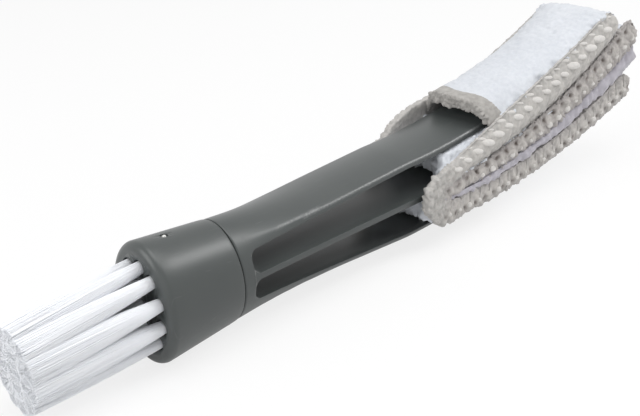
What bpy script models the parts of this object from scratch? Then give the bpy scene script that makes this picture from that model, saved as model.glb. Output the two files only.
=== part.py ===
"""Detailing brush: an oval tufted head on a three-prong handle with a pull-off cloth cover.

Lengths are metres. The model is drawn along +X from the centre of the head's front face,
with the bristles towards -X and the cover towards +X, and is then set down on z = 0.
"""
import math

import bmesh
import bpy
from mathutils import Matrix, Vector

# Brush head
HEAD_LENGTH = 0.0168
HEAD_FRONT_HALF_WIDTH = 0.0092
HEAD_FRONT_HALF_HEIGHT = 0.0120
HEAD_BACK_HALF_WIDTH = 0.0085
HEAD_BACK_HALF_HEIGHT = 0.0105
HEAD_RIM_RADIUS = 0.0016
HEAD_WALL = 0.0018
SOCKET_DEPTH = 0.0072
GATE_MARK_RADIUS = 0.0007
GATE_MARK_DEPTH = 0.00025
GATE_MARK_PLACE = 0.0060

# Tufts and their anchors
OUTER_TUFTS = 11
INNER_TUFTS = 3
HOLE_RADIUS = 0.00145
HOLE_DEPTH = 0.0060
RING_SIDE_WALL = 0.00175
RING_TOP_WALL = 0.00255
RING_HALF_WIDTH = HEAD_FRONT_HALF_WIDTH - RING_SIDE_WALL - HOLE_RADIUS
RING_HALF_HEIGHT = HEAD_FRONT_HALF_HEIGHT - RING_TOP_WALL - HOLE_RADIUS
RING_TURN = math.radians(97)
COLUMN_SHARE = 0.5
TUFT_CLEARANCE = 0.0002
TUFT_RECESS = 0.0005
TUFT_SPREAD_SHARE = 1.04
BRISTLE_REACH = 0.0255
BRISTLE_RAGGEDNESS = 0.0016
BRISTLE_DROOP = 0.0008
STRANDS_PER_TUFT = 34
STRAND_RADIUS = 0.00013
STRAND_TIP_RADIUS = 0.00009
STRAND_ROOT = 0.0004
TIP_WIDTH_SHARE = 0.78
TIP_HEIGHT_SHARE = 0.86
ANCHOR_THICKNESS = 0.0004
ANCHOR_HEIGHT = 0.0014
ANCHOR_SLOT_DEPTH = 0.0021

# Handle
SEAT_CLEARANCE = 0.0003
SEAM_STEP = 0.00015
SPIGOT_LEAD = 0.0008
NECK_LENGTH = 0.0026
BLEND_LENGTH = 0.0289
STRAIGHT_LENGTH = 0.0452
BEND_RADIUS = 0.1720
PRONG_REACH = 0.0700
STACK_RISE = 0.0006
SLOT_ROOT_RADIUS = 0.0016
SLOT_ROOT_REACH = 0.0050
SLOT_REACH = 0.0075
OUTER_PRONG_ROOT = 0.0013
OUTER_PRONG_EDGE = 0.0011
MIDDLE_PRONG_THICKNESS = 0.0012
PRONG_MIDDLE_HALF_WIDTH = 0.0081
PRONG_OUTER_HALF_WIDTH = 0.0067
PRONG_CROWN = 0.0009
PRONG_CORNER = 0.0005
PRONG_TIP_LENGTH = 0.0055
PRONG_TIP_SHARE = 0.35
SLOT_ROOT = HEAD_LENGTH + NECK_LENGTH
BEND_START = HEAD_LENGTH + STRAIGHT_LENGTH
PRONG_PITCH = SLOT_REACH + OUTER_PRONG_EDGE / 2

# Cloth cover
CLOTH_MARGIN = 0.0014
CLOTH_THICKNESS = 0.0022
CLOTH_EDGE_THICKNESS = 0.0013
CLOTH_CLEARANCE = 0.0004
SEAM_GAP = 0.0006
MOUTH_SLACK = 0.0023
TIP_SLACK = 0.0010
BELLY_SLACK = 0.0034
UPPER_SEAM_ROOT = 0.0036
LOWER_SEAM_ROOT = 0.0046
SEAM_TIP_PITCH = 0.0102
MOUTH_SETBACK = 0.0225
MOUTH_SWEEP = 0.0028
UPPER_CROTCH_SETBACK = 0.0110
UPPER_CROTCH_SWEEP = 0.0036
LOWER_CROTCH_SETBACK = 0.0042
SIDE_FINGER_SPARE = 0.0052
MIDDLE_FINGER_SPARE = 0.0118
BINDING_LENGTH = 0.0038
BINDING_EXTRA = 0.0002
EDGING_THICKNESS = 0.0012
EDGING_ROOT_LENGTH = 0.0080
EDGING_ROOT_SETBACK = 0.0018
EDGING_NOSE = 0.0026
EDGING_PARTING = 0.0006
UPPER_SPLIT_SETBACK = 0.0185
LOWER_SPLIT_SETBACK = 0.0095
TOP_EDGE_ROOT = 0.0034
TOP_EDGE_TIP = 0.0120
PARTING_ROOT = 0.0014
PARTING_TIP = 0.0050
MIDDLE_EDGE_ROOT = 0.0004
MIDDLE_EDGE_TIP = 0.0023
LOWER_EDGE_ROOT = 0.0018
LOWER_EDGE_TIP = 0.0069
BOTTOM_EDGE_ROOT = 0.0070
BOTTOM_EDGE_TIP = 0.0130
COVER_GAP = 0.0003
CLOTH_HALF_WIDTH = PRONG_MIDDLE_HALF_WIDTH + CLOTH_MARGIN
MOUTH = BEND_START + MOUTH_SETBACK
UPPER_CROTCH = BEND_START + UPPER_CROTCH_SETBACK
LOWER_CROTCH = BEND_START + LOWER_CROTCH_SETBACK
EDGING_ROOT = BEND_START + EDGING_ROOT_SETBACK
UPPER_SPLIT = BEND_START + UPPER_SPLIT_SETBACK
LOWER_SPLIT = BEND_START + LOWER_SPLIT_SETBACK
SIDE_FINGER_TIP = BEND_START + PRONG_REACH + SIDE_FINGER_SPARE
MIDDLE_FINGER_TIP = BEND_START + PRONG_REACH + MIDDLE_FINGER_SPARE

# Upper (1) and lower (-1) edge of each finger's seam: root height, tip height, and how early it climbs
EDGING_LINES = {
    (1, 1): (TOP_EDGE_ROOT, TOP_EDGE_TIP, 3.0),
    (1, -1): (PARTING_ROOT + EDGING_PARTING / 2, PARTING_TIP + EDGING_PARTING / 2, 0.6),
    (0, 1): (PARTING_ROOT - EDGING_PARTING / 2, PARTING_TIP - EDGING_PARTING / 2, 0.6),
    (0, -1): (-MIDDLE_EDGE_ROOT, -MIDDLE_EDGE_TIP, 6.0),
    (-1, 1): (-LOWER_EDGE_ROOT, -LOWER_EDGE_TIP, 1.5),
    (-1, -1): (-BOTTOM_EDGE_ROOT, -BOTTOM_EDGE_TIP, 1.0),
}

# Shared drawing values
OVERRUN = 0.0040
MERGE_DISTANCE = 0.00001
HEAD_SIDES = 48
HOLE_SIDES = 12
RIM_STEPS = 4
CORNER_STEPS = 3
BEND_STEPS = 12
LAYER_STEPS = 8
FOLD_STEPS = 6
SNUG_POWER = 8
LOOSE_POWER = 4
BELLY_POWER = 1.4
SEAM_POWER = 1.4
NECK_POWER = 1.3
CROWN_SHARES = (0.0, 0.35, 0.65, 0.87)
SIDE_SHARES = (0.78, 0.52, 0.26, 0.0)
NECK_SHARES = (0.0, 0.05, 0.11, 0.18, 0.26, 0.36, 0.48, 0.62, 0.80, 1.0)
TIP_SHARES = (0.4, 0.7, 0.9, 1.0)
ACROSS_SHARES = (-1.0, -0.9, -0.74, -0.5, -0.2, 0.2, 0.5, 0.74, 0.9, 1.0)
GOLDEN_ANGLE = math.pi * (3 - math.sqrt(5))


def empty_scene():
    """Removes whatever the scene holds."""
    for old in list(bpy.data.objects):
        bpy.data.objects.remove(old, do_unlink=True)


def new_collection(name):
    group = bpy.data.collections.new(name)
    bpy.context.scene.collection.children.link(group)
    return group


def new_material(name, color, roughness, metallic=0.0):
    material = bpy.data.materials.new(name)
    material.use_nodes = True
    shader = material.node_tree.nodes["Principled BSDF"]
    shader.inputs["Base Color"].default_value = (*color, 1.0)
    shader.inputs["Roughness"].default_value = roughness
    shader.inputs["Metallic"].default_value = metallic
    material.diffuse_color = (*color, 1.0)
    return material


def add_object(name, mesh, group, material=None):
    piece = bpy.data.objects.new(name, mesh)
    group.objects.link(piece)
    if material:
        mesh.materials.append(material)
    return piece


def add_cutter(name, mesh, group):
    cutter = add_object(name, mesh, group)
    cutter.hide_render = True
    cutter.display_type = "WIRE"
    return cutter


def finish_mesh(bm, name, sharp_angle=math.radians(35)):
    """Turns a bmesh into a mesh whose faces point out and whose round sides are smooth."""
    bmesh.ops.recalc_face_normals(bm, faces=bm.faces)
    mesh = bpy.data.meshes.new(name)
    bm.to_mesh(mesh)
    bm.free()
    mesh.shade_smooth()
    mesh.set_sharp_from_angle(angle=sharp_angle)
    return mesh


def loft(rings, name):
    """A closed body through rings that have the same number of points."""
    bm = bmesh.new()
    rows = [[bm.verts.new(point) for point in ring] for ring in rings]
    for row, following in zip(rows, rows[1:]):
        for near, far in zip(range(len(row)), [*range(1, len(row)), 0]):
            bm.faces.new((row[near], row[far], following[far], following[near]))
    bm.faces.new(rows[0][::-1])
    bm.faces.new(rows[-1])
    return finish_mesh(bm, name)


def boolean(piece, operation, tool):
    change = piece.modifiers.new(f"{operation.lower()}_{tool.name}", "BOOLEAN")
    change.operation = operation
    change.solver = "EXACT"
    change.object = tool


def oval(place, half_width, half_height, sides):
    """Points round an ellipse in the plane x = place."""
    angles = [2 * math.pi * step / sides for step in range(sides)]
    return [Vector((place, half_width * math.sin(a), half_height * math.cos(a))) for a in angles]


def mix(low, high, share):
    return low + (high - low) * share


def clamp_share(share):
    return min(max(share, 0.0), 1.0)


def bend(along, offset):
    """The point that lies offset above the middle prong's middle surface, at a distance along it."""
    centre_height = STACK_RISE + BEND_RADIUS
    if along <= BEND_START:
        return along, STACK_RISE + offset
    angle = (along - BEND_START) / BEND_RADIUS
    radius = BEND_RADIUS - offset
    return BEND_START + radius * math.sin(angle), centre_height - radius * math.cos(angle)


def plate(outline, half_thickness, name):
    """A flat outline, given as (x, z) points, with its thickness along Y."""
    curve = bpy.data.curves.new(name, "CURVE")
    curve.dimensions = "2D"
    curve.fill_mode = "BOTH"
    curve.extrude = half_thickness
    spline = curve.splines.new("POLY")
    spline.points.add(len(outline) - 1)
    for point, (x, z) in zip(spline.points, outline):
        point.co = (x, z, 0.0, 1.0)
    spline.use_cyclic_u = True
    drawn = bpy.data.objects.new(name, curve)
    bpy.context.scene.collection.objects.link(drawn)
    bpy.context.view_layer.update()
    mesh = bpy.data.meshes.new_from_object(drawn.evaluated_get(bpy.context.evaluated_depsgraph_get()))
    bpy.data.objects.remove(drawn, do_unlink=True)
    bm = bmesh.new()
    bm.from_mesh(mesh)
    bpy.data.meshes.remove(mesh)
    bmesh.ops.remove_doubles(bm, verts=bm.verts, dist=MERGE_DISTANCE)
    bmesh.ops.transform(bm, matrix=Matrix.Rotation(math.pi / 2, 4, "X"), verts=bm.verts)
    return finish_mesh(bm, name)


def tuft_places():
    """Centres (y, z) of the tufts in the front face: an oval ring round a short column."""
    places = []
    for number in range(OUTER_TUFTS):
        angle = RING_TURN + 2 * math.pi * number / OUTER_TUFTS
        places.append((RING_HALF_WIDTH * math.cos(angle), RING_HALF_HEIGHT * math.sin(angle)))
    for number in range(INNER_TUFTS):
        height_share = COLUMN_SHARE * (2 * number / (INNER_TUFTS - 1) - 1)
        places.append((0.0, RING_HALF_HEIGHT * height_share))
    return places


def add_cylinder(bm, radius, start, end, y=0.0, z=0.0, sides=HOLE_SIDES):
    """A capped cylinder along X in an open bmesh."""
    turn = Matrix.Rotation(math.pi / 2, 4, "Y")
    shift = Matrix.Translation(((start + end) / 2, y, z))
    bmesh.ops.create_cone(bm, cap_ends=True, segments=sides, radius1=radius, radius2=radius,
                          depth=end - start, matrix=shift @ turn)


def make_head(parts, cutters, plastic):
    """Oval collar: drilled for the tufts in front and hollowed for the handle's spigot behind."""
    rings = []
    for step in range(RIM_STEPS + 1):
        angle = math.pi / 2 * (1 - step / RIM_STEPS)
        inset = HEAD_RIM_RADIUS * (1 - math.cos(angle))
        rings.append(oval(HEAD_RIM_RADIUS * (1 - math.sin(angle)), HEAD_FRONT_HALF_WIDTH - inset,
                          HEAD_FRONT_HALF_HEIGHT - inset, HEAD_SIDES))
    rings.append(oval(HEAD_LENGTH, HEAD_BACK_HALF_WIDTH, HEAD_BACK_HALF_HEIGHT, HEAD_SIDES))
    head = add_object("brush_head", loft(rings, "brush_head"), parts, plastic)

    bm = bmesh.new()
    for y, z in tuft_places():
        add_cylinder(bm, HOLE_RADIUS, -OVERRUN, HOLE_DEPTH, y, z)
    boolean(head, "DIFFERENCE", add_cutter("tuft_holes", finish_mesh(bm, "tuft_holes"), cutters))

    socket = [oval(place, HEAD_BACK_HALF_WIDTH - HEAD_WALL, HEAD_BACK_HALF_HEIGHT - HEAD_WALL, HEAD_SIDES)
              for place in (HEAD_LENGTH - SOCKET_DEPTH, HEAD_LENGTH + OVERRUN)]
    boolean(head, "DIFFERENCE", add_cutter("socket", loft(socket, "socket"), cutters))

    side_share = (GATE_MARK_PLACE - HEAD_RIM_RADIUS) / (HEAD_LENGTH - HEAD_RIM_RADIUS)
    surface = mix(HEAD_FRONT_HALF_HEIGHT, HEAD_BACK_HALF_HEIGHT, side_share)
    bm = bmesh.new()
    shift = Matrix.Translation((GATE_MARK_PLACE, 0.0, surface - GATE_MARK_DEPTH + OVERRUN / 2))
    bmesh.ops.create_cone(bm, cap_ends=True, segments=HOLE_SIDES, radius1=GATE_MARK_RADIUS,
                          radius2=GATE_MARK_RADIUS, depth=OVERRUN, matrix=shift)
    boolean(head, "DIFFERENCE", add_cutter("gate_mark", finish_mesh(bm, "gate_mark"), cutters))
    return head


def slug_mesh(cutters):
    """The packed root of a tuft, drawn at the origin and slotted where it folds over its anchor."""
    root = TUFT_CLEARANCE - HOLE_DEPTH
    bm = bmesh.new()
    add_cylinder(bm, HOLE_RADIUS - TUFT_CLEARANCE, root, -TUFT_RECESS)
    slug = add_object("slug", finish_mesh(bm, "slug"), cutters)
    bm = bmesh.new()
    bmesh.ops.create_cube(bm, size=1.0)
    slot = ANCHOR_THICKNESS + 2 * TUFT_CLEARANCE
    size = Matrix.Diagonal((ANCHOR_SLOT_DEPTH + OVERRUN, slot, 2 * HOLE_RADIUS + OVERRUN, 1.0))
    shift = Matrix.Translation((root + (ANCHOR_SLOT_DEPTH - OVERRUN) / 2, 0.0, 0.0))
    bmesh.ops.transform(bm, matrix=shift @ size, verts=bm.verts)
    slot_cutter = add_cutter("anchor_slot", finish_mesh(bm, "anchor_slot"), cutters)
    boolean(slug, "DIFFERENCE", slot_cutter)
    bpy.context.view_layer.update()
    mesh = bpy.data.meshes.new_from_object(slug.evaluated_get(bpy.context.evaluated_depsgraph_get()))
    bpy.data.objects.remove(slug, do_unlink=True)
    bpy.data.objects.remove(slot_cutter, do_unlink=True)
    mesh.transform(Matrix.Rotation(math.pi, 4, "Z"))
    return mesh


def tuft_tip(y, z):
    """Where the middle of a tuft's tip lies: the tufts lean together and droop a little."""
    return Vector((-BRISTLE_REACH, y * TIP_WIDTH_SHARE, z * TIP_HEIGHT_SHARE - BRISTLE_DROOP))


def tip_spread(y, z):
    """How far a tuft spreads at its tip: half way to its nearest neighbour."""
    tip = tuft_tip(y, z)
    distances = [(tuft_tip(*place) - tip).length for place in tuft_places() if place != (y, z)]
    return min(distances) / 2 - TUFT_CLEARANCE - STRAND_TIP_RADIUS


def strand_mesh(y, z, name):
    """The free bristles of the tuft at (y, z): straight three-sided strands that never cross."""
    root_spread = HOLE_RADIUS - TUFT_CLEARANCE - STRAND_RADIUS
    spread = tip_spread(y, z)
    lean = tuft_tip(y, z) - Vector((0.0, y, z))
    bm = bmesh.new()
    for number in range(STRANDS_PER_TUFT):
        spread_share = math.sqrt((number + 0.5) / STRANDS_PER_TUFT)
        angle = GOLDEN_ANGLE * number
        outward = Vector((0.0, math.cos(angle), math.sin(angle))) * spread_share
        ragged_share = math.modf(number * GOLDEN_ANGLE + (y - z) / HOLE_RADIUS)[0] ** 2 if number else 0.0
        root = Vector((TUFT_RECESS + STRAND_ROOT, 0.0, 0.0)) + outward * root_spread
        full_tip = lean + outward * spread
        tip = root.lerp(full_tip, 1 - BRISTLE_RAGGEDNESS * ragged_share / BRISTLE_REACH)
        rings = []
        for end, radius in ((root, STRAND_RADIUS), (tip, STRAND_TIP_RADIUS)):
            turns = [angle + 2 * math.pi * corner / 3 for corner in range(3)]
            rings.append([bm.verts.new(end + Vector((0.0, radius * math.cos(t), radius * math.sin(t))))
                          for t in turns])
        base, top = rings
        for near, far in ((0, 1), (1, 2), (2, 0)):
            bm.faces.new((base[near], base[far], top[far], top[near]))
        bm.faces.new(base[::-1])
        bm.faces.new(top)
    return finish_mesh(bm, name)


def make_tufts(parts, cutters, nylon, steel):
    """One tuft and one flat anchor for each hole, all seen from the front face's centre."""
    slug = slug_mesh(cutters)
    slug.materials.append(nylon)
    bm = bmesh.new()
    bmesh.ops.create_cube(bm, size=1.0)
    anchor_width = 2 * (HOLE_RADIUS - TUFT_CLEARANCE)
    size = Matrix.Diagonal((ANCHOR_HEIGHT, ANCHOR_THICKNESS, anchor_width, 1.0))
    shift = Matrix.Translation((HOLE_DEPTH - TUFT_CLEARANCE - ANCHOR_HEIGHT / 2, 0.0, 0.0))
    bmesh.ops.transform(bm, matrix=shift @ size, verts=bm.verts)
    anchor = finish_mesh(bm, "anchor")
    anchor.materials.append(steel)
    for number, (y, z) in enumerate(tuft_places(), start=1):
        tuft = add_object(f"tuft_{number:02d}", slug, parts)
        tuft.location = (0.0, y, z)
        strands = add_cutter(f"strands_{number:02d}", strand_mesh(y, z, f"strands_{number:02d}"), cutters)
        strands.location = tuft.location
        boolean(tuft, "UNION", strands)
        staple = add_object(f"anchor_{number:02d}", anchor, parts)
        staple.location = tuft.location


def slot_reach(along):
    """How far the inner faces of the outer prongs lie from the stack's middle."""
    share = clamp_share((along - SLOT_ROOT) / (BEND_START - SLOT_ROOT))
    return mix(SLOT_ROOT_REACH, SLOT_REACH, share)


def stack_quarter(along):
    """One quarter of the prong stack's outline as (y, z), from the crown round to the side."""
    share = clamp_share((along - SLOT_ROOT) / (BEND_START - SLOT_ROOT))
    edge = slot_reach(along) + mix(OUTER_PRONG_ROOT, OUTER_PRONG_EDGE, share)
    shoulder = PRONG_OUTER_HALF_WIDTH - PRONG_CORNER
    points = [(shoulder * share, edge + PRONG_CROWN * (1 - share ** 2)) for share in CROWN_SHARES]
    for step in range(CORNER_STEPS):
        angle = math.pi / 2 * step / (CORNER_STEPS - 1)
        height = edge - PRONG_CORNER * (1 - math.cos(angle))
        points.append((shoulder + PRONG_CORNER * math.sin(angle), height))
    side_top = points[-1][1]
    bulge = PRONG_MIDDLE_HALF_WIDTH - PRONG_OUTER_HALF_WIDTH
    points += [(PRONG_OUTER_HALF_WIDTH + bulge * (1 - share ** 2), side_top * share) for share in SIDE_SHARES]
    return points


def mirror_quarter(quarter):
    """The whole closed outline from its upper right quarter."""
    lower_right = [(y, -z) for y, z in quarter[-2::-1]]
    right = quarter + lower_right
    left = [(-y, z) for y, z in right[-2:0:-1]]
    return right + left


def handle_ring(along, width_share=1.0):
    """The handle's outer section, which changes from the neck's oval to the prong stack."""
    start = HEAD_LENGTH + SEAT_CLEARANCE
    share = clamp_share((along - start) / BLEND_LENGTH)
    eased = 1 - (1 - share ** NECK_POWER) ** 2
    quarter = stack_quarter(along)
    top = quarter[0][1]
    side = quarter[-1][0]
    blended = []
    for y, z in quarter:
        angle = math.atan2(y / side, z / top)
        oval_y = (HEAD_BACK_HALF_WIDTH - SEAM_STEP) * math.sin(angle)
        oval_z = (HEAD_BACK_HALF_HEIGHT - SEAM_STEP) * math.cos(angle)
        blended.append((mix(oval_y, y, eased) * width_share, mix(oval_z, z, eased)))
    lowered = STACK_RISE * (1 - eased)
    ring = []
    for y, z in mirror_quarter(blended):
        x, height = bend(along, z)
        ring.append(Vector((x, y, height - lowered)))
    return ring


def spigot_ring(place, inset):
    """The spigot's oval, point for point like the neck's first ring."""
    wall = HEAD_WALL + SEAT_CLEARANCE + inset
    width_share = (HEAD_BACK_HALF_WIDTH - wall) / (HEAD_BACK_HALF_WIDTH - SEAM_STEP)
    height_share = (HEAD_BACK_HALF_HEIGHT - wall) / (HEAD_BACK_HALF_HEIGHT - SEAM_STEP)
    neck = handle_ring(HEAD_LENGTH + SEAT_CLEARANCE)
    return [Vector((place, point.y * width_share, point.z * height_share)) for point in neck]


def slot_outline(side):
    """The open slot above (side 1) or below (side -1) the middle prong, as (x, z) points."""
    floor = MIDDLE_PRONG_THICKNESS / 2
    start = SLOT_ROOT + SLOT_ROOT_RADIUS
    end = BEND_START + PRONG_REACH + OVERRUN
    stations = [start, (start + BEND_START) / 2]
    stations += [mix(BEND_START, end, step / BEND_STEPS) for step in range(BEND_STEPS + 1)]
    outline = [bend(along, side * slot_reach(along)) for along in stations]
    outline += [bend(along, side * floor) for along in reversed(stations)]
    quarter = [math.pi / 2 * step / CORNER_STEPS for step in range(1, CORNER_STEPS + 1)]
    for angle in quarter:
        height = floor + SLOT_ROOT_RADIUS * (1 - math.cos(angle))
        outline.append(bend(start - SLOT_ROOT_RADIUS * math.sin(angle), side * height))
    for angle in reversed(quarter):
        height = slot_reach(start) - SLOT_ROOT_RADIUS * (1 - math.cos(angle))
        outline.append(bend(start - SLOT_ROOT_RADIUS * math.sin(angle), side * height))
    return outline


def make_handle(parts, cutters, plastic):
    """Spigot, neck and three prongs, moulded in one piece and cut apart by two long slots."""
    shoulder = HEAD_LENGTH + SEAT_CLEARANCE
    spigot_start = HEAD_LENGTH - SOCKET_DEPTH + SEAT_CLEARANCE
    blend_end = shoulder + BLEND_LENGTH
    rings = [spigot_ring(spigot_start, SPIGOT_LEAD), spigot_ring(spigot_start + SPIGOT_LEAD, 0.0)]
    rings.append(spigot_ring(shoulder, 0.0))
    rings += [handle_ring(mix(shoulder, blend_end, share)) for share in NECK_SHARES]
    rings.append(handle_ring((blend_end + BEND_START) / 2))
    tip = BEND_START + PRONG_REACH
    round_start = tip - PRONG_TIP_LENGTH
    rings += [handle_ring(mix(BEND_START, round_start, step / BEND_STEPS)) for step in range(BEND_STEPS + 1)]
    for share in TIP_SHARES:
        width_share = mix(PRONG_TIP_SHARE, 1.0, math.sqrt(1 - share ** 2))
        rings.append(handle_ring(mix(round_start, tip, share), width_share))
    handle = add_object("handle", loft(rings, "handle"), parts, plastic)
    for name, side in (("upper_slot", 1), ("lower_slot", -1)):
        mesh = plate(slot_outline(side), PRONG_MIDDLE_HALF_WIDTH + OVERRUN, name)
        boolean(handle, "DIFFERENCE", add_cutter(name, mesh, cutters))
    return handle


def pillow(across_share, power):
    """How far the cloth stands off its side seams: 1 over the middle and 0 at the edges."""
    return 1 - abs(across_share) ** power


def cloth_thickness(across_share):
    return mix(CLOTH_EDGE_THICKNESS, CLOTH_THICKNESS, pillow(across_share, SNUG_POWER))


def finger_share(along):
    """Where a place along the prongs lies on the fingers: 0 at the lower crotch and 1 at the outer tips."""
    return clamp_share((along - LOWER_CROTCH) / (SIDE_FINGER_TIP - LOWER_CROTCH))


def seam_pitch(finger, along):
    """How far an outer finger's cut edges lie from the middle one's: they spread towards the tips."""
    root = UPPER_SEAM_ROOT if finger == 1 else LOWER_SEAM_ROOT
    return mix(SEAM_TIP_PITCH, root, (1 - finger_share(along)) ** SEAM_POWER)


def layer_offset(finger, face, along, across_share):
    """Height of one layer of cloth: finger 1, 0 or -1 from the top, and its upper (1) or lower (-1) face."""
    prong = MIDDLE_PRONG_THICKNESS if finger == 0 else OUTER_PRONG_EDGE
    stand_off = prong / 2 + CLOTH_CLEARANCE + CLOTH_THICKNESS / 2
    power = SNUG_POWER
    if finger * face == 1:
        slack = MOUTH_SLACK if face == 1 else BELLY_SLACK
        share = clamp_share((along - MOUTH) / (SIDE_FINGER_TIP - MOUTH))
        stand_off += PRONG_CROWN + mix(slack, TIP_SLACK, share)
        power = LOOSE_POWER if face == 1 else BELLY_POWER
    seam = finger * seam_pitch(finger, along) + face * (CLOTH_EDGE_THICKNESS + SEAM_GAP) / 2
    return mix(seam, finger * PRONG_PITCH + face * stand_off, pillow(across_share, power))


def fold(from_layer, to_layer, crest, forward, across_share):
    """A U-turn of the strip, and the place along the prongs where its straight layers begin."""
    first = layer_offset(*from_layer, crest, across_share)
    last = layer_offset(*to_layer, crest, across_share)
    radius = abs(first - last) / 2
    centre = crest - forward * radius
    points = []
    for step in range(1, FOLD_STEPS):
        angle = math.pi * step / FOLD_STEPS
        offset = (first + last) / 2 + math.cos(angle) * (first - last) / 2
        points.append((centre + forward * radius * math.sin(angle), offset))
    return points, centre


def mouth_place(across_share):
    """Where a mouth's edge lies along the prongs: it sweeps back towards the side seams."""
    return MOUTH + MOUTH_SWEEP * across_share ** 2


def layer(finger, face, start, end, across_share):
    """A run of the strip along one face of one finger."""
    stations = [mix(start, end, step / LAYER_STEPS) for step in range(LAYER_STEPS + 1)]
    return [(along, layer_offset(finger, face, along, across_share)) for along in stations]


def strip_path(across_share):
    """Centre line of the cloth strip, from the top mouth through three fingers to the lower mouth."""
    half = cloth_thickness(across_share) / 2
    side_tip = SIDE_FINGER_TIP - half
    start = mouth_place(across_share) + BINDING_LENGTH + COVER_GAP
    upper_crest = UPPER_CROTCH - UPPER_CROTCH_SWEEP * across_share ** 2 + half
    top_fold, top_turn = fold((1, 1), (1, -1), side_tip, 1, across_share)
    upper_fold, upper_turn = fold((1, -1), (0, 1), upper_crest, -1, across_share)
    middle_fold, middle_turn = fold((0, 1), (0, -1), MIDDLE_FINGER_TIP - half, 1, across_share)
    lower_fold, lower_turn = fold((0, -1), (-1, 1), LOWER_CROTCH + half, -1, across_share)
    bottom_fold, bottom_turn = fold((-1, 1), (-1, -1), side_tip, 1, across_share)
    path = layer(1, 1, start, top_turn, across_share) + top_fold
    path += layer(1, -1, top_turn, upper_turn, across_share) + upper_fold
    path += layer(0, 1, upper_turn, middle_turn, across_share) + middle_fold
    path += layer(0, -1, middle_turn, lower_turn, across_share) + lower_fold
    path += layer(-1, 1, lower_turn, bottom_turn, across_share) + bottom_fold
    return path + layer(-1, -1, bottom_turn, start, across_share)


def thicken(path, thickness, across_share):
    """Closed ring round a centre line, bent with the prongs and pressed flat where it would rest."""
    floor = -HEAD_FRONT_HALF_HEIGHT
    left, right = [], []
    for index, (along, offset) in enumerate(path):
        before = path[max(index - 1, 0)]
        after = path[min(index + 1, len(path) - 1)]
        run = Vector((after[0] - before[0], after[1] - before[1])).normalized()
        for points, side in ((left, 1), (right, -1)):
            x, z = bend(along - side * run.y * thickness / 2, offset + side * run.x * thickness / 2)
            points.append(Vector((x, CLOTH_HALF_WIDTH * across_share, max(z, floor))))
    return left + right[::-1]


def make_cloth(parts, terry):
    """The terry strip: one length of cloth folded into three flat fingers."""
    rings = [thicken(strip_path(share), cloth_thickness(share), share) for share in ACROSS_SHARES]
    return add_object("cover_cloth", loft(rings, "cover_cloth"), parts, terry)


def make_binding(name, finger, parts, thread):
    """The overlocked edge round one mouth of the cover, an arch from side seam to side seam."""
    rings = []
    for share in ACROSS_SHARES:
        mouth = mouth_place(share)
        stations = (mouth, mouth + BINDING_LENGTH / 2, mouth + BINDING_LENGTH)
        path = [(along, layer_offset(finger, finger, along, share)) for along in stations]
        rings.append(thicken(path, cloth_thickness(share) + BINDING_EXTRA, share))
    return add_object(name, loft(rings, name), parts, thread)


def edging_height(finger, side, along):
    """Height of the upper (1) or lower (-1) edge of one finger's side seam."""
    root, tip, power = EDGING_LINES[(finger, side)]
    return mix(tip, root, (1 - finger_share(along)) ** power)


def edging_edge(finger, side, start, end):
    """One long edge of a finger's side seam."""
    stations = [mix(start, end, step / LAYER_STEPS) for step in range(LAYER_STEPS + 1)]
    return [(along, edging_height(finger, side, along)) for along in stations]


def edging_tooth(finger, top_start, low_start, tip):
    """One finger's side seam as the two long edges and the round end of a comb's tooth."""
    turn = tip - EDGING_NOSE
    top = edging_height(finger, 1, turn)
    low = edging_height(finger, -1, turn)
    nose = []
    for step in range(1, FOLD_STEPS):
        angle = math.pi * step / FOLD_STEPS
        height = mix(low, top, (1 + math.cos(angle)) / 2)
        nose.append((turn + EDGING_NOSE * math.sin(angle), height))
    return edging_edge(finger, 1, top_start, turn) + nose + edging_edge(finger, -1, turn, low_start)


def edging_outline():
    """The side seams and crotches as one comb with three teeth and a round root, as (x, z) points."""
    root_end = EDGING_ROOT + EDGING_ROOT_LENGTH
    outline = edging_tooth(1, root_end, UPPER_SPLIT, SIDE_FINGER_TIP)
    outline += edging_tooth(0, UPPER_SPLIT, LOWER_SPLIT, MIDDLE_FINGER_TIP)
    outline += edging_tooth(-1, LOWER_SPLIT, root_end, SIDE_FINGER_TIP)
    top = outline[0][1]
    bottom = outline[-1][1]
    for step in range(1, 2 * FOLD_STEPS):
        angle = math.pi * step / (2 * FOLD_STEPS)
        height = bottom if math.cos(angle) > 0 else -top
        outline.append((root_end - EDGING_ROOT_LENGTH * math.sin(angle), height * math.cos(angle)))
    return [bend(along, offset) for along, offset in outline]


def make_edging(name, side, parts, thread):
    """One side's overlock seam, standing just outside the cloth's cut edges."""
    edging = add_object(name, plate(edging_outline(), EDGING_THICKNESS / 2, name), parts, thread)
    edging.location.y = side * (CLOTH_HALF_WIDTH + COVER_GAP + EDGING_THICKNESS / 2)
    return edging


def set_down(parts):
    """Stands the finished model on z = 0 with its middle at the origin."""
    bpy.context.view_layer.update()
    graph = bpy.context.evaluated_depsgraph_get()
    corners = []
    for piece in parts.objects:
        shape = piece.evaluated_get(graph)
        corners += [shape.matrix_world @ Vector(corner) for corner in shape.bound_box]
    low = Vector([min(corner[axis] for corner in corners) for axis in range(3)])
    high = Vector([max(corner[axis] for corner in corners) for axis in range(3)])
    return Vector((-(low.x + high.x) / 2, -(low.y + high.y) / 2, -low.z))


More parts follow.
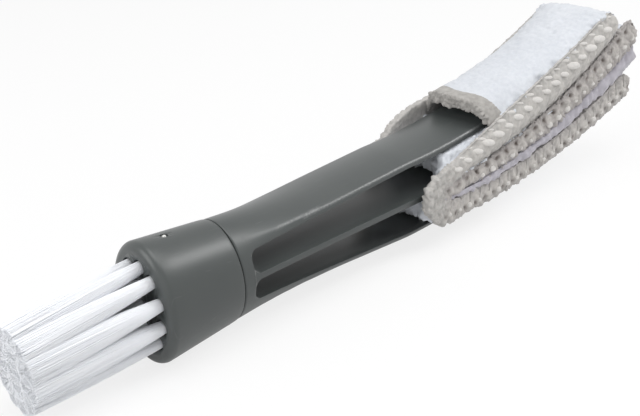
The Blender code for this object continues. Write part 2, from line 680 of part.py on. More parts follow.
def main():
    empty_scene()
    parts = new_collection("detailing_brush")
    cutters = new_collection("cutters")
    plastic = new_material("satin_grey_plastic", (0.135, 0.140, 0.138), 0.42)
    nylon = new_material("white_nylon", (0.83, 0.85, 0.88), 0.35)
    steel = new_material("anchor_steel", (0.62, 0.60, 0.56), 0.35, 1.0)
    terry = new_material("white_terry", (0.80, 0.82, 0.86), 0.95)
    thread = new_material("grey_overlock_thread", (0.42, 0.41, 0.39), 0.9)

    make_head(parts, cutters, plastic)
    make_handle(parts, cutters, plastic)
    make_tufts(parts, cutters, nylon, steel)
    cover = [make_cloth(parts, terry)]
    cover.append(make_binding("top_mouth_binding", 1, parts, thread))
    cover.append(make_binding("bottom_mouth_binding", -1, parts, thread))
    cover.append(make_edging("left_edging", 1, parts, thread))
    cover.append(make_edging("right_edging", -1, parts, thread))

    base = bpy.data.objects.new("brush_frame", None)
    pivot = bpy.data.objects.new("cover_pivot", None)
    pivot.location = (BEND_START, 0.0, STACK_RISE + BEND_RADIUS)
    for marker in (base, pivot):
        bpy.context.scene.collection.objects.link(marker)
    pivot.parent = base
    shift = set_down(parts)
    for piece in list(parts.objects) + list(cutters.objects):
        piece.parent = pivot if piece in cover else base
        if piece in cover:
            piece.location -= pivot.location
    base.location = shift
    bpy.context.view_layer.update()


main()
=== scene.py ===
import math
import bmesh
import bpy
from mathutils import Matrix, Vector, noise


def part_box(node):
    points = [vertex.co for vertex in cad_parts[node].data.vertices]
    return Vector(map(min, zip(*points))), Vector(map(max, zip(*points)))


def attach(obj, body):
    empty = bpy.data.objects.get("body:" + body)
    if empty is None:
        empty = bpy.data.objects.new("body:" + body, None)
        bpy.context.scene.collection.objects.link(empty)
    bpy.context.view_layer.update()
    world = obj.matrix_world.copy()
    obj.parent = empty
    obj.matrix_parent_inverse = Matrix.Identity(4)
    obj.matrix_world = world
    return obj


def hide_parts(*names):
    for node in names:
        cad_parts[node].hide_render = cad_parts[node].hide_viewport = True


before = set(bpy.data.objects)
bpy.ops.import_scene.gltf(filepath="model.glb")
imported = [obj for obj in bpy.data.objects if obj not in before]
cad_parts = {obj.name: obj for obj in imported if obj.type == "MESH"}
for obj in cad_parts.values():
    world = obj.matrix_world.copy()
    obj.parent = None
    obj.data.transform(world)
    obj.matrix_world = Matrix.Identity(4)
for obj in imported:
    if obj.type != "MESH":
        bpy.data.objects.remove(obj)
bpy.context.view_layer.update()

# Detailing brush: tufted collar, three-prong handle and a pull-off terry cover.
# Sizes below are millimetres, drawn along +X from the middle of the collar's front face.

mm = 0.001
headLow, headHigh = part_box("brush_head")
origin = Vector((headLow.x, 0.0, (headLow.z + headHigh.z) / 2))
handleBody = "handle_body"
coverBody = "cover_body"
print("frame loaded, collar starts at", [round(value, 5) for value in origin])


def mix(low, high, share):
    return low + (high - low) * share


def clampShare(share):
    return min(max(share, 0.0), 1.0)


def smooth(share):
    share = clampShare(share)
    return share * share * (3 - 2 * share)


def ramp(value, start, length):
    return smooth((value - start) / length)


def steps(count):
    return [step / count for step in range(count + 1)]


def place(x, y, z):
    return origin + Vector((x, y, z)) * mm  # drawing millimetres to the frame's metres


# Meshes

noiseShift = (7.31, 3.17, 5.03)  # how far each seed moves the noise
lumpRise, lumpSink = 2.2, 0.45  # how high lumpy noise stands and how deep its creases lie


def meshOf(bm, name):
    mesh = bpy.data.meshes.new(name)
    bm.to_mesh(mesh)
    bm.free()
    return mesh


def bridge(bm, row, following, skip=(), closed=True):
    for near in range(len(row) if closed else len(row) - 1):
        far = (near + 1) % len(row)
        if near not in skip:
            bm.faces.new((row[near], row[far], following[far], following[near]))


def loft(rings, name):
    bm = bmesh.new()
    rows = [[bm.verts.new(point) for point in ring] for ring in rings]
    for row, following in zip(rows, rows[1:]):
        bridge(bm, row, following)
    bm.faces.new(rows[0][::-1])
    bm.faces.new(rows[-1])
    bmesh.ops.recalc_face_normals(bm, faces=bm.faces)
    return meshOf(bm, name)


def newObject(name, mesh):
    thing = bpy.data.objects.new(name, mesh)
    bpy.context.scene.collection.objects.link(thing)
    return thing


def addModifier(piece, kind, **settings):
    change = piece.modifiers.new(kind.lower(), kind)
    for key, value in settings.items():
        setattr(change, key, value)
    return change


def bakeModifiers(piece):
    # the finished shape becomes the piece's own mesh
    bpy.context.view_layer.update()
    graph = bpy.context.evaluated_depsgraph_get()
    mesh = bpy.data.meshes.new_from_object(piece.evaluated_get(graph))
    piece.modifiers.clear()
    piece.data = mesh
    return piece


def moveTo(mesh, spots):
    for vert, spot in zip(mesh.vertices, spots):
        vert.co = spot


def paint(mesh, name, kind, values):
    field = mesh.attributes.new(name, kind, "POINT")
    field.data.foreach_set("color" if kind == "FLOAT_COLOR" else "value", values)


def roughen(mesh, layers, seed, weights, lumpy=False):
    # moves each point along its normal by noise; layers are (size, height). Lumpy noise makes round lumps with
    # creases between them
    shift = Vector([seed * part for part in noiseShift])
    moved = []
    for index, vert in enumerate(mesh.vertices):
        weight, height = weights(index, vert.co), 0.0
        for size, tall in layers if weight else ():
            value = noise.noise(vert.co / (size * mm) + shift)
            height += tall * (lumpRise * abs(value) - lumpSink if lumpy else value)
        moved.append(vert.co + vert.normal * height * weight * mm)
    moveTo(mesh, moved)


def markWearAndHighlight(mesh, sharpness, start):
    # the attribute is 1 along outward edges sharper than this many degrees, from this far along the brush; it marks
    # the pale edges, partly rubbed wear and partly a painted highlight
    bm = bmesh.new()
    bm.from_mesh(mesh)
    turns = [max((edge.calc_face_angle_signed(0.0) for edge in vert.link_edges), default=0.0) for vert in bm.verts]
    bm.free()
    sharp = math.radians(sharpness)
    wornAndHighlit = [turn > sharp and (vert.co.x - origin.x) / mm > start for turn, vert in zip(turns, mesh.vertices)]
    paint(mesh, "wearAndHighlight", "FLOAT", [float(value) for value in wornAndHighlit])


def finishPiece(piece, body, material=None):
    if material:
        piece.data.materials.clear()
        piece.data.materials.append(material)
    if body == coverBody:  # the cover lies on the floor and doesn't reach through it
        for vert in piece.data.vertices:
            vert.co.z = max(vert.co.z, headLow.z)
    piece.data.shade_smooth()
    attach(piece, body)
    return piece


# Node helpers

socketKinds = {int: "NodeSocketInt", float: "NodeSocketFloat", tuple: "NodeSocketVector"}


def setInputs(tree, node, inputs):
    for key, value in inputs.items():
        if isinstance(value, bpy.types.NodeSocket):
            tree.links.new(value, node.inputs[key])
        else:
            node.inputs[key].default_value = value


def addNode(tree, kind, inputs=None, give=0, **settings):
    # gives one of the node's outputs, or the node itself where it has none
    node = tree.nodes.new(kind)
    for key, value in settings.items():
        setattr(node, key, value)
    setInputs(tree, node, inputs or {})
    return node.outputs[give] if node.outputs else node


def hexColor(text):
    # sRGB hex to linear
    shares = [int(text[index:index + 2], 16) / 255 for index in (1, 3, 5)]
    return (*[share / 12.92 if share <= 0.04045 else ((share + 0.055) / 1.055) ** 2.4 for share in shares], 1.0)


def newTree(name, inputs):
    # an empty Geometry Nodes tree whose named inputs start at these values, and the sockets that give them
    tree = bpy.data.node_groups.new(name, "GeometryNodeTree")
    for way in ("INPUT", "OUTPUT"):
        tree.interface.new_socket("Geometry", in_out=way, socket_type="NodeSocketGeometry")
    for label, value in inputs.items():
        tree.interface.new_socket(label, in_out="INPUT", socket_type=socketKinds[type(value)]).default_value = value
    return tree, addNode(tree, "NodeGroupInput").node.outputs


def closeTree(tree, geometry, material):
    real = addNode(tree, "GeometryNodeRealizeInstances", {"Geometry": geometry})
    final = addNode(tree, "GeometryNodeSetMaterial", {"Geometry": real, "Material": material})
    addNode(tree, "NodeGroupOutput", {"Geometry": final})
    return tree


def grow(name, tree, values, mesh=None):
    # runs a tree on a mesh and keeps the result as a plain object
    seed = newObject(name, mesh or bpy.data.meshes.new(name))
    change = addModifier(seed, "NODES", node_group=tree)
    keys = {item.name: item.identifier for item in tree.interface.items_tree if item.in_out == "INPUT"}
    for label, value in values.items():
        change[keys[label]] = value
    return bakeModifiers(seed)


# Materials

def newMaterial(name, patterns):
    # a Principled material, the piece's own coordinates, and a noise for each pattern's size and detail
    material = bpy.data.materials.new(name)
    material.use_nodes = True
    tree = material.node_tree
    parts = {"coords": addNode(tree, "ShaderNodeTexCoord", give="Object")}
    for label, (size, detail) in patterns.items():
        inputs = {"Vector": parts["coords"], "Scale": 1 / (size * mm), "Detail": detail}
        parts[label] = addNode(tree, "ShaderNodeTexNoise", inputs)
    return material, tree, parts


def dress(tree, base, layers, values, relief=None):
    # each layer is a share and the colour it lays over the last one; the relief is a height, its strength and depth
    shader = tree.nodes["Principled BSDF"]
    color = hexColor(base)
    for share, shade in layers:
        color = addNode(tree, "ShaderNodeMix", {"Factor": share, 6: color, 7: hexColor(shade)}, 2, data_type="RGBA")
    setInputs(tree, shader, {"Base Color": color, **values})
    if relief:
        height, strength, depth = relief
        inputs = {"Strength": strength, "Distance": depth * mm, "Height": height}
        setInputs(tree, shader, {"Normal": addNode(tree, "ShaderNodeBump", inputs)})


def mottled(name, base, shade, size, detail, values, relief=()):
    # two colours mixed by one noise, which may also raise the surface
    material, tree, parts = newMaterial(name, {"mottle": (size, detail)})
    dress(tree, base, [(parts["mottle"], shade)], values, relief and (parts["mottle"], *relief))
    return material


def mouldedPlastic():
    # Injection-moulded polypropylene from a spark-eroded mould: satin with a soft wide highlight and a very fine grain,
    # faintly scuffed, and pale along its sharp edges, partly as rubbed wear and partly as a painted highlight
    look = {
        "color": "#434747", "faded": "#4a4e4d", "scuff": "#6d706f", "wornAndHighlit": "#717373", "roughness": (0.29, 0.38),
        "patterns": {"cloud": (9.0, 3.0), "grain": (0.35, 2.0), "speck": (0.5, 2.0)}, "grainHeight": (0.05, 0.05),
        "scratchLength": 5.0, "scratchWidth": 0.22, "scratchTurn": (0.0, -0.2, 0.5), "scratchShare": 0.3,
    }
    material, tree, parts = newMaterial("satinMouldedPolypropylene", look["patterns"])
    long, thin = 1 / (look["scratchLength"] * mm), 1 / (look["scratchWidth"] * mm)
    turned = {"Vector": parts["coords"], "Rotation": look["scratchTurn"], "Scale": (long, thin, long)}
    scratch = {"Vector": addNode(tree, "ShaderNodeMapping", turned), "Scale": 1.0, "Detail": 1.0}
    scratch = addNode(tree, "ShaderNodeTexNoise", scratch)
    scratch = {"Value": scratch, "From Min": 0.70, "From Max": 0.80, "To Max": look["scratchShare"]}
    scratch = addNode(tree, "ShaderNodeMapRange", scratch)
    # the pale edge colour: partly rubbed wear, partly a painted highlight along the sharp edges
    wearAndHighlight = addNode(tree, "ShaderNodeAttribute", give="Fac", attribute_name="wearAndHighlight")
    dots = {"Value": parts["speck"], "From Min": 0.35, "From Max": 0.65, "To Min": 0.25}
    dots = addNode(tree, "ShaderNodeMapRange", dots)
    wornAndHighlit = addNode(tree, "ShaderNodeMath", {0: wearAndHighlight, 1: dots}, operation="MULTIPLY")
    shiny, dull = look["roughness"]
    gloss = addNode(tree, "ShaderNodeMapRange", {"Value": parts["cloud"], "To Min": shiny, "To Max": dull})
    layers = [(parts["cloud"], look["faded"]), (scratch, look["scuff"]), (wornAndHighlit, look["wornAndHighlit"])]
    relief = (parts["grain"], *look["grainHeight"])
    dress(tree, look["color"], layers, {"Roughness": gloss, "IOR": 1.49}, relief)
    return material


def nylonFilament():
    # Extruded nylon filament: milky white with a little light passing through, glossy along its length, with faint
    # streaks of painted shade between the filaments
    look = {"color": "#f4f7fd", "bright": "#fcfdff", "streakLength": 14.0, "streakWidth": 0.30, "lightDepth": 0.1}
    material, tree, parts = newMaterial("extrudedNylonFilament", {})
    long, thin = 1 / (look["streakLength"] * mm), 1 / (look["streakWidth"] * mm)
    stretched = addNode(tree, "ShaderNodeMapping", {"Vector": parts["coords"], "Scale": (long, thin, thin)})
    # painted shade: faint streaks along the strands stand for the shade between filaments
    streaks = addNode(tree, "ShaderNodeTexNoise", {"Vector": stretched, "Scale": 1.0, "Detail": 1.0})
    dress(tree, look["color"], [(streaks, look["bright"])], {
        "Roughness": 0.38, "IOR": 1.53, "Subsurface Weight": 0.15,
        "Subsurface Radius": (0.95, 0.97, 1.0), "Subsurface Scale": look["lightDepth"] * mm})
    return material


def knittedTerry():
    # Warp-knitted microfibre terry, cropped short: cool white, matt, with a soft clumped nap. Its attribute is 1 where
    # the cloth rolls out between the seams, and there it lays a painted shade of lilac grey
    look = {
        "color": "#c9cdd4", "bright": "#dadde2", "paintedShade": "#b3b0b8",
        "patterns": {"clump": (0.9, 3.0), "fibre": (0.22, 2.0), "drift": (7.0, 1.0)}, "pile": (0.3, 0.2),
    }
    material, tree, parts = newMaterial("knittedMicrofibreTerry", look["patterns"])
    clump = parts["clump"]
    setInputs(tree, clump.node, {"Roughness": 0.6})
    height = addNode(tree, "ShaderNodeMath", {0: parts["fibre"], 1: 0.4, 2: clump}, operation="MULTIPLY_ADD")
    shade = addNode(tree, "ShaderNodeMath", {0: parts["drift"], 1: 0.5, 2: clump}, operation="MULTIPLY_ADD")
    shade = addNode(tree, "ShaderNodeMapRange", {"Value": shade, "From Min": 0.45, "From Max": 1.05})
    # painted shade along the rolled-out sides, read from the attribute
    paintedShade = addNode(tree, "ShaderNodeAttribute", give="Fac", attribute_name="paintedShade")
    values = {"Roughness": 0.95, "Sheen Weight": 0.25, "Sheen Roughness": 0.5}
    layers = [(shade, look["bright"]), (paintedShade, look["paintedShade"])]
    dress(tree, look["color"], layers, values, (height, *look["pile"]))
    return material


def overlockedEdge(name, base, light):
    # Textured polyester thread overlocked round a cut terry edge: warm grey and soft, with painted shade in its needle
    # holes. The attribute "stitch" holds, for each point of a seam, the needle holes' painted shade (red), how far the
    # terry shows (green) and how brown the thread is (blue)
    look = {
        "pit": "#5c524c", "terry": "#d2cec8", "brown": "#968c8c",
        "patterns": {"knot": (1.1, 2.0), "fibre": (0.25, 3.0)}, "fuzz": (0.3, 0.2),
    }
    material, tree, parts = newMaterial(name, look["patterns"])
    painted = addNode(tree, "ShaderNodeAttribute", give="Color", attribute_name="stitch")
    marks = addNode(tree, "ShaderNodeSeparateColor", {"Color": painted}).node.outputs
    knots = addNode(tree, "ShaderNodeMapRange", {"Value": parts["knot"], "From Min": 0.35, "From Max": 0.68})
    height = addNode(tree, "ShaderNodeMath", {0: parts["fibre"], 1: 0.6}, operation="MULTIPLY")
    layers = [(knots, light)]
    # the red mark lays a painted shade of dark brown in the needle holes
    layers += [(marks[mark], look[shade]) for mark, shade in (("Blue", "brown"), ("Green", "terry"), ("Red", "pit"))]
    dress(tree, base, layers, {"Roughness": 0.9, "Sheen Weight": 0.15}, (height, *look["fuzz"]))
    return material


plastic = mouldedPlastic()
nylon = nylonFilament()
terry = knittedTerry()
thread = overlockedEdge("overlockedPolyesterSeam", "#acaaa7", "#c2bfbb")
boundThread = overlockedEdge("overlockedPolyesterMouth", "#9d9a96", "#b1aeaa")
# Flat brass-plated staple wire, drawn and cut: bright, with fine lines along it
wire = mottled("drawnStapleWire", "#b9b4a6", "#d2cdbf", 0.2, 2.0, {"Metallic": 1.0, "Roughness": 0.35})
# The sprue's cut stub: pale, near white, in fine broken grains
gateFace = mottled("paleSprueStub", "#c9c9c6", "#f1f1ee", 0.15, 2.0, {"Roughness": 0.5}, (0.3, 0.05))
# The terry's own loops where they push out between the threads: cream, downy, softly lit through
downy = {"Roughness": 0.95, "Sheen Weight": 0.3}
loops = mottled("pushedOutTerryLoops", "#c6c3bf", "#dedbd8", 0.45, 3.0, downy, (0.4, 0.15))
print("materials made")


# The prongs' common path

stack = {
    "rise": 0.6, "bendStart": 62.0, "bendRadius": 172.0, "reach": 70.0,
    "slotRoot": 19.4, "rootRadius": 1.6, "rootReach": 5.0, "slotReach": 7.5,
    "outerRoot": 1.3, "outerEdge": 1.1, "middle": 1.2, "crown": 0.9, "corner": 0.5,
    "middleHalfWidth": 8.1, "outerHalfWidth": 6.7, "tipLength": 5.5, "tipShare": 0.35,
    "blend": 28.9, "neckPower": 1.3, "neckStart": 0.3, "neckInset": 0.15, "shoulder": 0.975,
    "sidePoints": 24, "cornerPoints": 6, "rootSteps": 8, "step": 1.3, "edge": 0.2, "sharp": 50, "wearAndHighlightAngle": 22.0,
    "neckPlaces": (16.95, 17.15, 17.4, 17.8, 18.3, 18.85), "tipPlaces": (0.2, 0.4, 0.56, 0.7, 0.81, 0.9, 0.96, 1.0),
}
stack["pitch"] = stack["slotReach"] + stack["outerEdge"] / 2


def bend(along, offset):
    # a point above the middle prong's middle surface, at a distance along it
    if along <= stack["bendStart"]:
        return along, stack["rise"] + offset
    angle = (along - stack["bendStart"]) / stack["bendRadius"]
    radius = stack["bendRadius"] - offset
    return stack["bendStart"] + radius * math.sin(angle), stack["rise"] + stack["bendRadius"] - radius * math.cos(angle)


def bentPlace(along, y, offset):
    x, z = bend(along, offset)
    return place(x, y, z)


def unbend(point):
    # where a point lies along the prongs and above the middle one
    x, z = (point.x - origin.x) / mm, (point.z - origin.z) / mm
    if x <= stack["bendStart"]:
        return x, z - stack["rise"]
    dx, dz = x - stack["bendStart"], stack["rise"] + stack["bendRadius"] - z
    return stack["bendStart"] + stack["bendRadius"] * math.atan2(dx, dz), stack["bendRadius"] - math.hypot(dx, dz)


# Collar

collar = {
    "length": 16.8, "frontHalfWidth": 9.2, "frontHalfHeight": 12.0, "backHalfWidth": 8.5, "backHalfHeight": 10.5,
    "rim": 1.6, "backRound": 0.35, "sides": 144, "rimSteps": 10, "backSteps": 4,
    "bodyPlaces": (0.15, 0.3, 0.45, 0.6, 0.75, 0.9), "edge": 0.12, "sharp": 50,
    "holeRadius": 1.45, "holeDepth": 5.4, "boreSides": 32, "boreClear": 1.0,
    "outerTufts": 11, "innerTufts": 3, "columnShare": 0.5, "ringHalfWidth": 6.0, "ringHalfHeight": 8.0, "ringTurn": 97,
    "gatePlace": 6.3, "gateRadius": 0.75, "gateDepth": 0.35, "stubSize": (0.42, 0.42, 0.34), "stubLift": 0.04,
}


def tuftPlaces():
    c = collar
    places = []
    for number in range(c["outerTufts"]):
        angle = math.radians(c["ringTurn"]) + 2 * math.pi * number / c["outerTufts"]
        places.append((c["ringHalfWidth"] * math.cos(angle), c["ringHalfHeight"] * math.sin(angle)))
    for number in range(c["innerTufts"]):
        places.append((0.0, c["ringHalfHeight"] * c["columnShare"] * (2 * number / (c["innerTufts"] - 1) - 1)))
    return places


def collarRing(x, halfWidth, halfHeight, inset=0.0):
    angles = [2 * math.pi * step / collar["sides"] for step in range(collar["sides"])]
    halfWidth, halfHeight = halfWidth - inset, halfHeight - inset
    return [place(x, halfWidth * math.sin(angle), halfHeight * math.cos(angle)) for angle in angles]


def bore(bm, radius, length, middle, turn=Matrix.Identity(4)):
    bmesh.ops.create_cone(
        bm, cap_ends=True, segments=collar["boreSides"], radius1=radius * mm, radius2=radius * mm,
        depth=length * mm, matrix=Matrix.Translation(place(*middle)) @ turn)


def makeCollar():
    c = collar
    rings = []
    for share in steps(c["rimSteps"]):
        angle = math.pi / 2 * share
        x, inset = c["rim"] * (1 - math.cos(angle)), c["rim"] * (1 - math.sin(angle))
        rings.append(collarRing(x, c["frontHalfWidth"], c["frontHalfHeight"], inset))
    for share in c["bodyPlaces"]:
        halfWidth = mix(c["frontHalfWidth"], c["backHalfWidth"], share)
        halfHeight = mix(c["frontHalfHeight"], c["backHalfHeight"], share)
        rings.append(collarRing(mix(c["rim"], c["length"], share), halfWidth, halfHeight))
    for share in steps(c["backSteps"]):
        angle = math.pi / 2 * share
        x, inset = c["length"] - c["backRound"] * (1 - math.sin(angle)), c["backRound"] * (1 - math.cos(angle))
        rings.append(collarRing(x, c["backHalfWidth"], c["backHalfHeight"], inset))
    shell = newObject("collarShell", loft(rings, "collarShell"))
    bm = bmesh.new()
    clear = c["boreClear"]  # how far each bore stands out of the collar
    for y, z in tuftPlaces():
        turn = Matrix.Rotation(math.pi / 2, 4, "Y")
        bore(bm, c["holeRadius"], c["holeDepth"] + clear, ((c["holeDepth"] - clear) / 2, y, z), turn)
    surface = mix(c["frontHalfHeight"], c["backHalfHeight"], (c["gatePlace"] - c["rim"]) / (c["length"] - c["rim"]))
    floor = surface - c["gateDepth"]
    bore(bm, c["gateRadius"], surface + clear - floor, (c["gatePlace"], 0.0, (floor + surface + clear) / 2))
    bmesh.ops.recalc_face_normals(bm, faces=bm.faces)
    cutter = newObject("collarHoles", meshOf(bm, "collarHoles"))
    addModifier(shell, "BOOLEAN", operation="DIFFERENCE", solver="EXACT", object=cutter)
    bakeModifiers(shell)
    bpy.data.objects.remove(cutter, do_unlink=True)
    sharp = math.radians(c["sharp"])
    addModifier(shell, "BEVEL", width=c["edge"] * mm, segments=2, limit_method="ANGLE", angle_limit=sharp,
                use_clamp_overlap=True, harden_normals=True)
    bakeModifiers(shell)
    finishPiece(shell, handleBody, plastic)
    shell.data.set_sharp_from_angle(angle=sharp)
    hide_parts("brush_head")

    # the sprue's cut stub, a tiny bright dome in the gate mark
    bm = bmesh.new()
    bmesh.ops.create_uvsphere(bm, u_segments=20, v_segments=12, radius=1.0)
    spot = Matrix.Translation(place(c["gatePlace"], 0.0, floor + c["stubLift"]))
    size = Matrix.Diagonal([*[part * mm for part in c["stubSize"]], 1.0])
    bmesh.ops.transform(bm, matrix=spot @ size, verts=bm.verts)
    finishPiece(newObject("gateStub", meshOf(bm, "gateStub")), handleBody, gateFace)


makeCollar()
print("collar made")


# Handle

crownSteps = 16
wallSteps = 3
acrossSteps = 8


def slotShare(along):
    return clampShare((along - stack["slotRoot"]) / (stack["bendStart"] - stack["slotRoot"]))


def slotReach(along):
    return mix(stack["rootReach"], stack["slotReach"], slotShare(along))


def stackQuarter(along):
    s = stack
    edge = slotReach(along) + mix(s["outerRoot"], s["outerEdge"], slotShare(along))
    shoulder = s["outerHalfWidth"] - s["corner"]
    points = [(shoulder * part, edge + s["crown"] * (1 - part ** 2)) for part in steps(s["sidePoints"])]
    for part in steps(s["cornerPoints"])[1:]:
        angle = math.pi / 2 * part
        points.append((shoulder + s["corner"] * math.sin(angle), edge - s["corner"] * (1 - math.cos(angle))))
    top = points[-1][1]
    bulge = s["middleHalfWidth"] - s["outerHalfWidth"]
    side = [(s["outerHalfWidth"] + bulge * (1 - part ** 2), top * part) for part in steps(s["sidePoints"])]
    return points + side[-2::-1]


def blendedQuarter(along, widthShare):
    # the neck's oval turning into the prong stack, and how much of the stack's rise it still lacks
    s = stack
    start = collar["length"] + s["neckStart"]
    eased = 1 - (1 - clampShare((along - start) / s["blend"]) ** s["neckPower"]) ** 2
    quarter = stackQuarter(along)
    top, side = quarter[0][1], quarter[-1][0]
    halfWidth, halfHeight = collar["backHalfWidth"] - s["neckInset"], collar["backHalfHeight"] - s["neckInset"]
    points = []
    for y, z in quarter:
        angle = math.atan2(y / side, z / top)
        neckY, neckZ = halfWidth * math.sin(angle), halfHeight * math.cos(angle)
        points.append((mix(neckY, y, eased) * widthShare, mix(neckZ, z, eased)))
    return points, s["rise"] * (1 - eased)


def cutAt(points, height):
    # where the falling outline passes a height
    for (y0, z0), (y1, z1) in zip(points, points[1:]):
        if z0 >= height >= z1 and z0 > z1:
            return mix(y0, y1, (z0 - height) / (z0 - z1)), height
    return points[-1]


def evenly(points, count):
    lengths = [0.0]
    for (y0, z0), (y1, z1) in zip(points, points[1:]):
        lengths.append(lengths[-1] + math.hypot(y1 - y0, z1 - z0))
    spread, segment = [], 0
    for share in steps(count):
        target = share * lengths[-1]
        while segment < len(points) - 2 and lengths[segment + 1] < target:
            segment += 1
        step = lengths[segment + 1] - lengths[segment]
        part = 0.0 if step == 0 else (target - lengths[segment]) / step
        spread.append(tuple(mix(low, high, part) for low, high in zip(points[segment], points[segment + 1])))
    return spread


def halfSection(along, levels, drop, widthShare):
    # from the crown's middle round to the widest point: crown, slot edge, slot wall, slot edge, side
    points, lowered = blendedQuarter(along, widthShare)
    high, low = levels[0] + lowered * drop, levels[1] + lowered * drop
    crown = [point for point in points if point[1] > high] + [cutAt(points, high)]
    section = evenly(crown, crownSteps)
    for share in steps(wallSteps)[1:]:
        section.append(cutAt(points, mix(high, low, share)))
    section.append(points[-1])
    return [(y, z - lowered * drop) for y, z in section]


def handleStations():
    # each section's place along the prongs, the slot's upper and lower level there, and its share of the full width
    s = stack
    root, radius, floor = s["slotRoot"], s["rootRadius"], s["middle"] / 2
    atRoot = (slotReach(root) - radius, floor + radius)
    stations = [(along, atRoot, 1.0) for along in s["neckPlaces"]]
    for share in steps(s["rootSteps"]):
        angle = math.pi / 2 * share
        along, inset = root + radius * (1 - math.cos(angle)), radius * (1 - math.sin(angle))
        stations.append((along, (slotReach(along) - inset, floor + inset), 1.0))
    reached = stations[-1][0]
    end = s["bendStart"] + s["reach"]
    roundStart = end - s["tipLength"]
    for share in steps(int((roundStart - reached) / s["step"]))[1:]:
        along = mix(reached, roundStart, share)
        stations.append((along, (slotReach(along), floor), 1.0))
    for share in s["tipPlaces"]:
        along = mix(roundStart, end, share)
        stations.append((along, (slotReach(along), floor), mix(s["tipShare"], 1.0, math.sqrt(1 - share ** 2))))
    return stations


def makeHandle():
    bm = bmesh.new()
    rows = []
    for number, (along, levels, widthShare) in enumerate(handleStations()):
        upper = halfSection(along, levels, 1.0, widthShare)
        lower = [(y, -z) for y, z in halfSection(along, levels, -1.0, widthShare)]
        right = upper + lower[-2::-1]
        ring = right + [(-y, z) for y, z in right[-2:0:-1]]
        inset = 1.0 if number else stack["shoulder"]
        rows.append([bm.verts.new(bentPlace(along, y * inset, z * inset)) for y, z in ring])
    size = len(rows[0])
    rootRow = len(stack["neckPlaces"])
    widest = crownSteps + wallSteps + 1  # index of the widest point
    edgeHigh, edgeLow = crownSteps, crownSteps + wallSteps  # the upper slot's edges
    underHigh, underLow = 2 * widest - edgeLow, 2 * widest - edgeHigh  # the lower slot's

    def across(row, index):
        # the flat of a slot, from the right edge to the left one
        start, finish = rows[row][index], rows[row][(size - index) % size]
        inner = [bm.verts.new(start.co.lerp(finish.co, share)) for share in steps(acrossSteps)[1:-1]]
        return [start] + inner + [finish]

    flats = {}
    for index in (edgeHigh, edgeLow, underHigh, underLow):
        flats[index] = [across(row, index) for row in range(rootRow, len(rows))]
    slots = set()
    for first in (edgeHigh, underHigh):
        for step in range(wallSteps):
            slots |= {first + step, size - 1 - first - step}
    for number, (row, following) in enumerate(zip(rows, rows[1:])):
        bridge(bm, row, following, slots if number >= rootRow else ())
    walls = []  # the slots' root walls
    for first in (edgeHigh, underHigh):
        inner = [across(rootRow, first + step) for step in range(1, wallSteps)]
        walls.append([flats[first][0]] + inner + [flats[first + wallSteps][0]])
    for strips in [*flats.values(), *walls]:
        for strip, following in zip(strips, strips[1:]):
            bridge(bm, strip, following, closed=False)
    bm.faces.new(rows[0])
    ends = rows[-1]  # three prong ends: the rim's points and the slots' flats in turn
    bm.faces.new(ends[:edgeHigh] + flats[edgeHigh][-1] + ends[size - edgeHigh + 1:])
    middle = flats[edgeLow][-1] + ends[size - underHigh + 1:size - edgeLow][::-1]
    bm.faces.new(middle + flats[underHigh][-1][::-1] + ends[edgeLow + 1:underHigh][::-1])
    bm.faces.new(flats[underLow][-1] + ends[underLow + 1:size - underLow][::-1])
    bmesh.ops.recalc_face_normals(bm, faces=bm.faces)
    piece = newObject("threeProngHandle", meshOf(bm, "threeProngHandle"))
    sharp = math.radians(stack["sharp"])
    addModifier(piece, "BEVEL", width=stack["edge"] * mm, segments=3, limit_method="ANGLE", angle_limit=sharp,
                use_clamp_overlap=True, harden_normals=False)
    bakeModifiers(piece)
    markWearAndHighlight(piece.data, stack["wearAndHighlightAngle"], stack["slotRoot"])
    finishPiece(piece, handleBody, plastic)
    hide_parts("handle")
    print("handle mesh", len(piece.data.polygons), "faces")


makeHandle()
print("handle made")


# Bristles

bristles = {
    "strands": 420, "innerShare": 0.80, "ends": 600, "rootRadius": 1.06, "rootDepth": 1.2, "reach": 25.0,
    "ragged": 0.06, "raggedPower": 3.0, "curl": 0.16, "flare": 1.7, "tipWidthShare": 0.75, "tipHeightShare": 0.76,
    "droop": 1.4, "radius": 0.06, "spreadShare": 1.68, "segments": 9, "flagged": 1.35, "jitter": 0.25, "strandSides": 4,
    "packedShare": 0.965, "packedLength": 0.95, "packedSides": 28, "packedSteps": 26,
    "endPower": 14.0, "endShare": 0.85, "endOverlap": 0.03, "swayPower": 2.0, "seed": 4,
}
goldenAngle = math.pi * (3 - math.sqrt(5))


def tuftShape(tree, run, take):
    # the tuft's middle and its radius at a share of the length: it flares soon after it leaves the hole
    deep = addNode(tree, "ShaderNodeCombineXYZ", {"X": take["Root depth"]})
    centre = addNode(tree, "ShaderNodeMix", {"Factor": run, 4: deep, 5: take["Tip"]}, 1, data_type="VECTOR")
    left = addNode(tree, "ShaderNodeMath", {0: 1.0, 1: run}, operation="SUBTRACT")
    left = addNode(tree, "ShaderNodeMath", {0: left, 1: take["Flare"]}, operation="POWER")
    radii = {"Factor": left, 2: take["Spread"], 3: take["Root radius"]}
    return centre, addNode(tree, "ShaderNodeMix", radii, data_type="FLOAT")


def straightLine(tree, count):
    line = addNode(tree, "GeometryNodeCurvePrimitiveLine", {"Start": (0.0, 0.0, 0.0), "End": (0.01, 0.0, 0.0)})
    return addNode(tree, "GeometryNodeResampleCurve", {"Curve": line, "Count": count}, mode="COUNT")


def sweep(tree, curve, sides, radius, scale=1.0):
    profile = addNode(tree, "GeometryNodeCurvePrimitiveCircle", {"Resolution": sides, "Radius": radius})
    inputs = {"Curve": curve, "Profile Curve": profile, "Fill Caps": True, "Scale": scale}
    return addNode(tree, "GeometryNodeCurveToMesh", inputs)


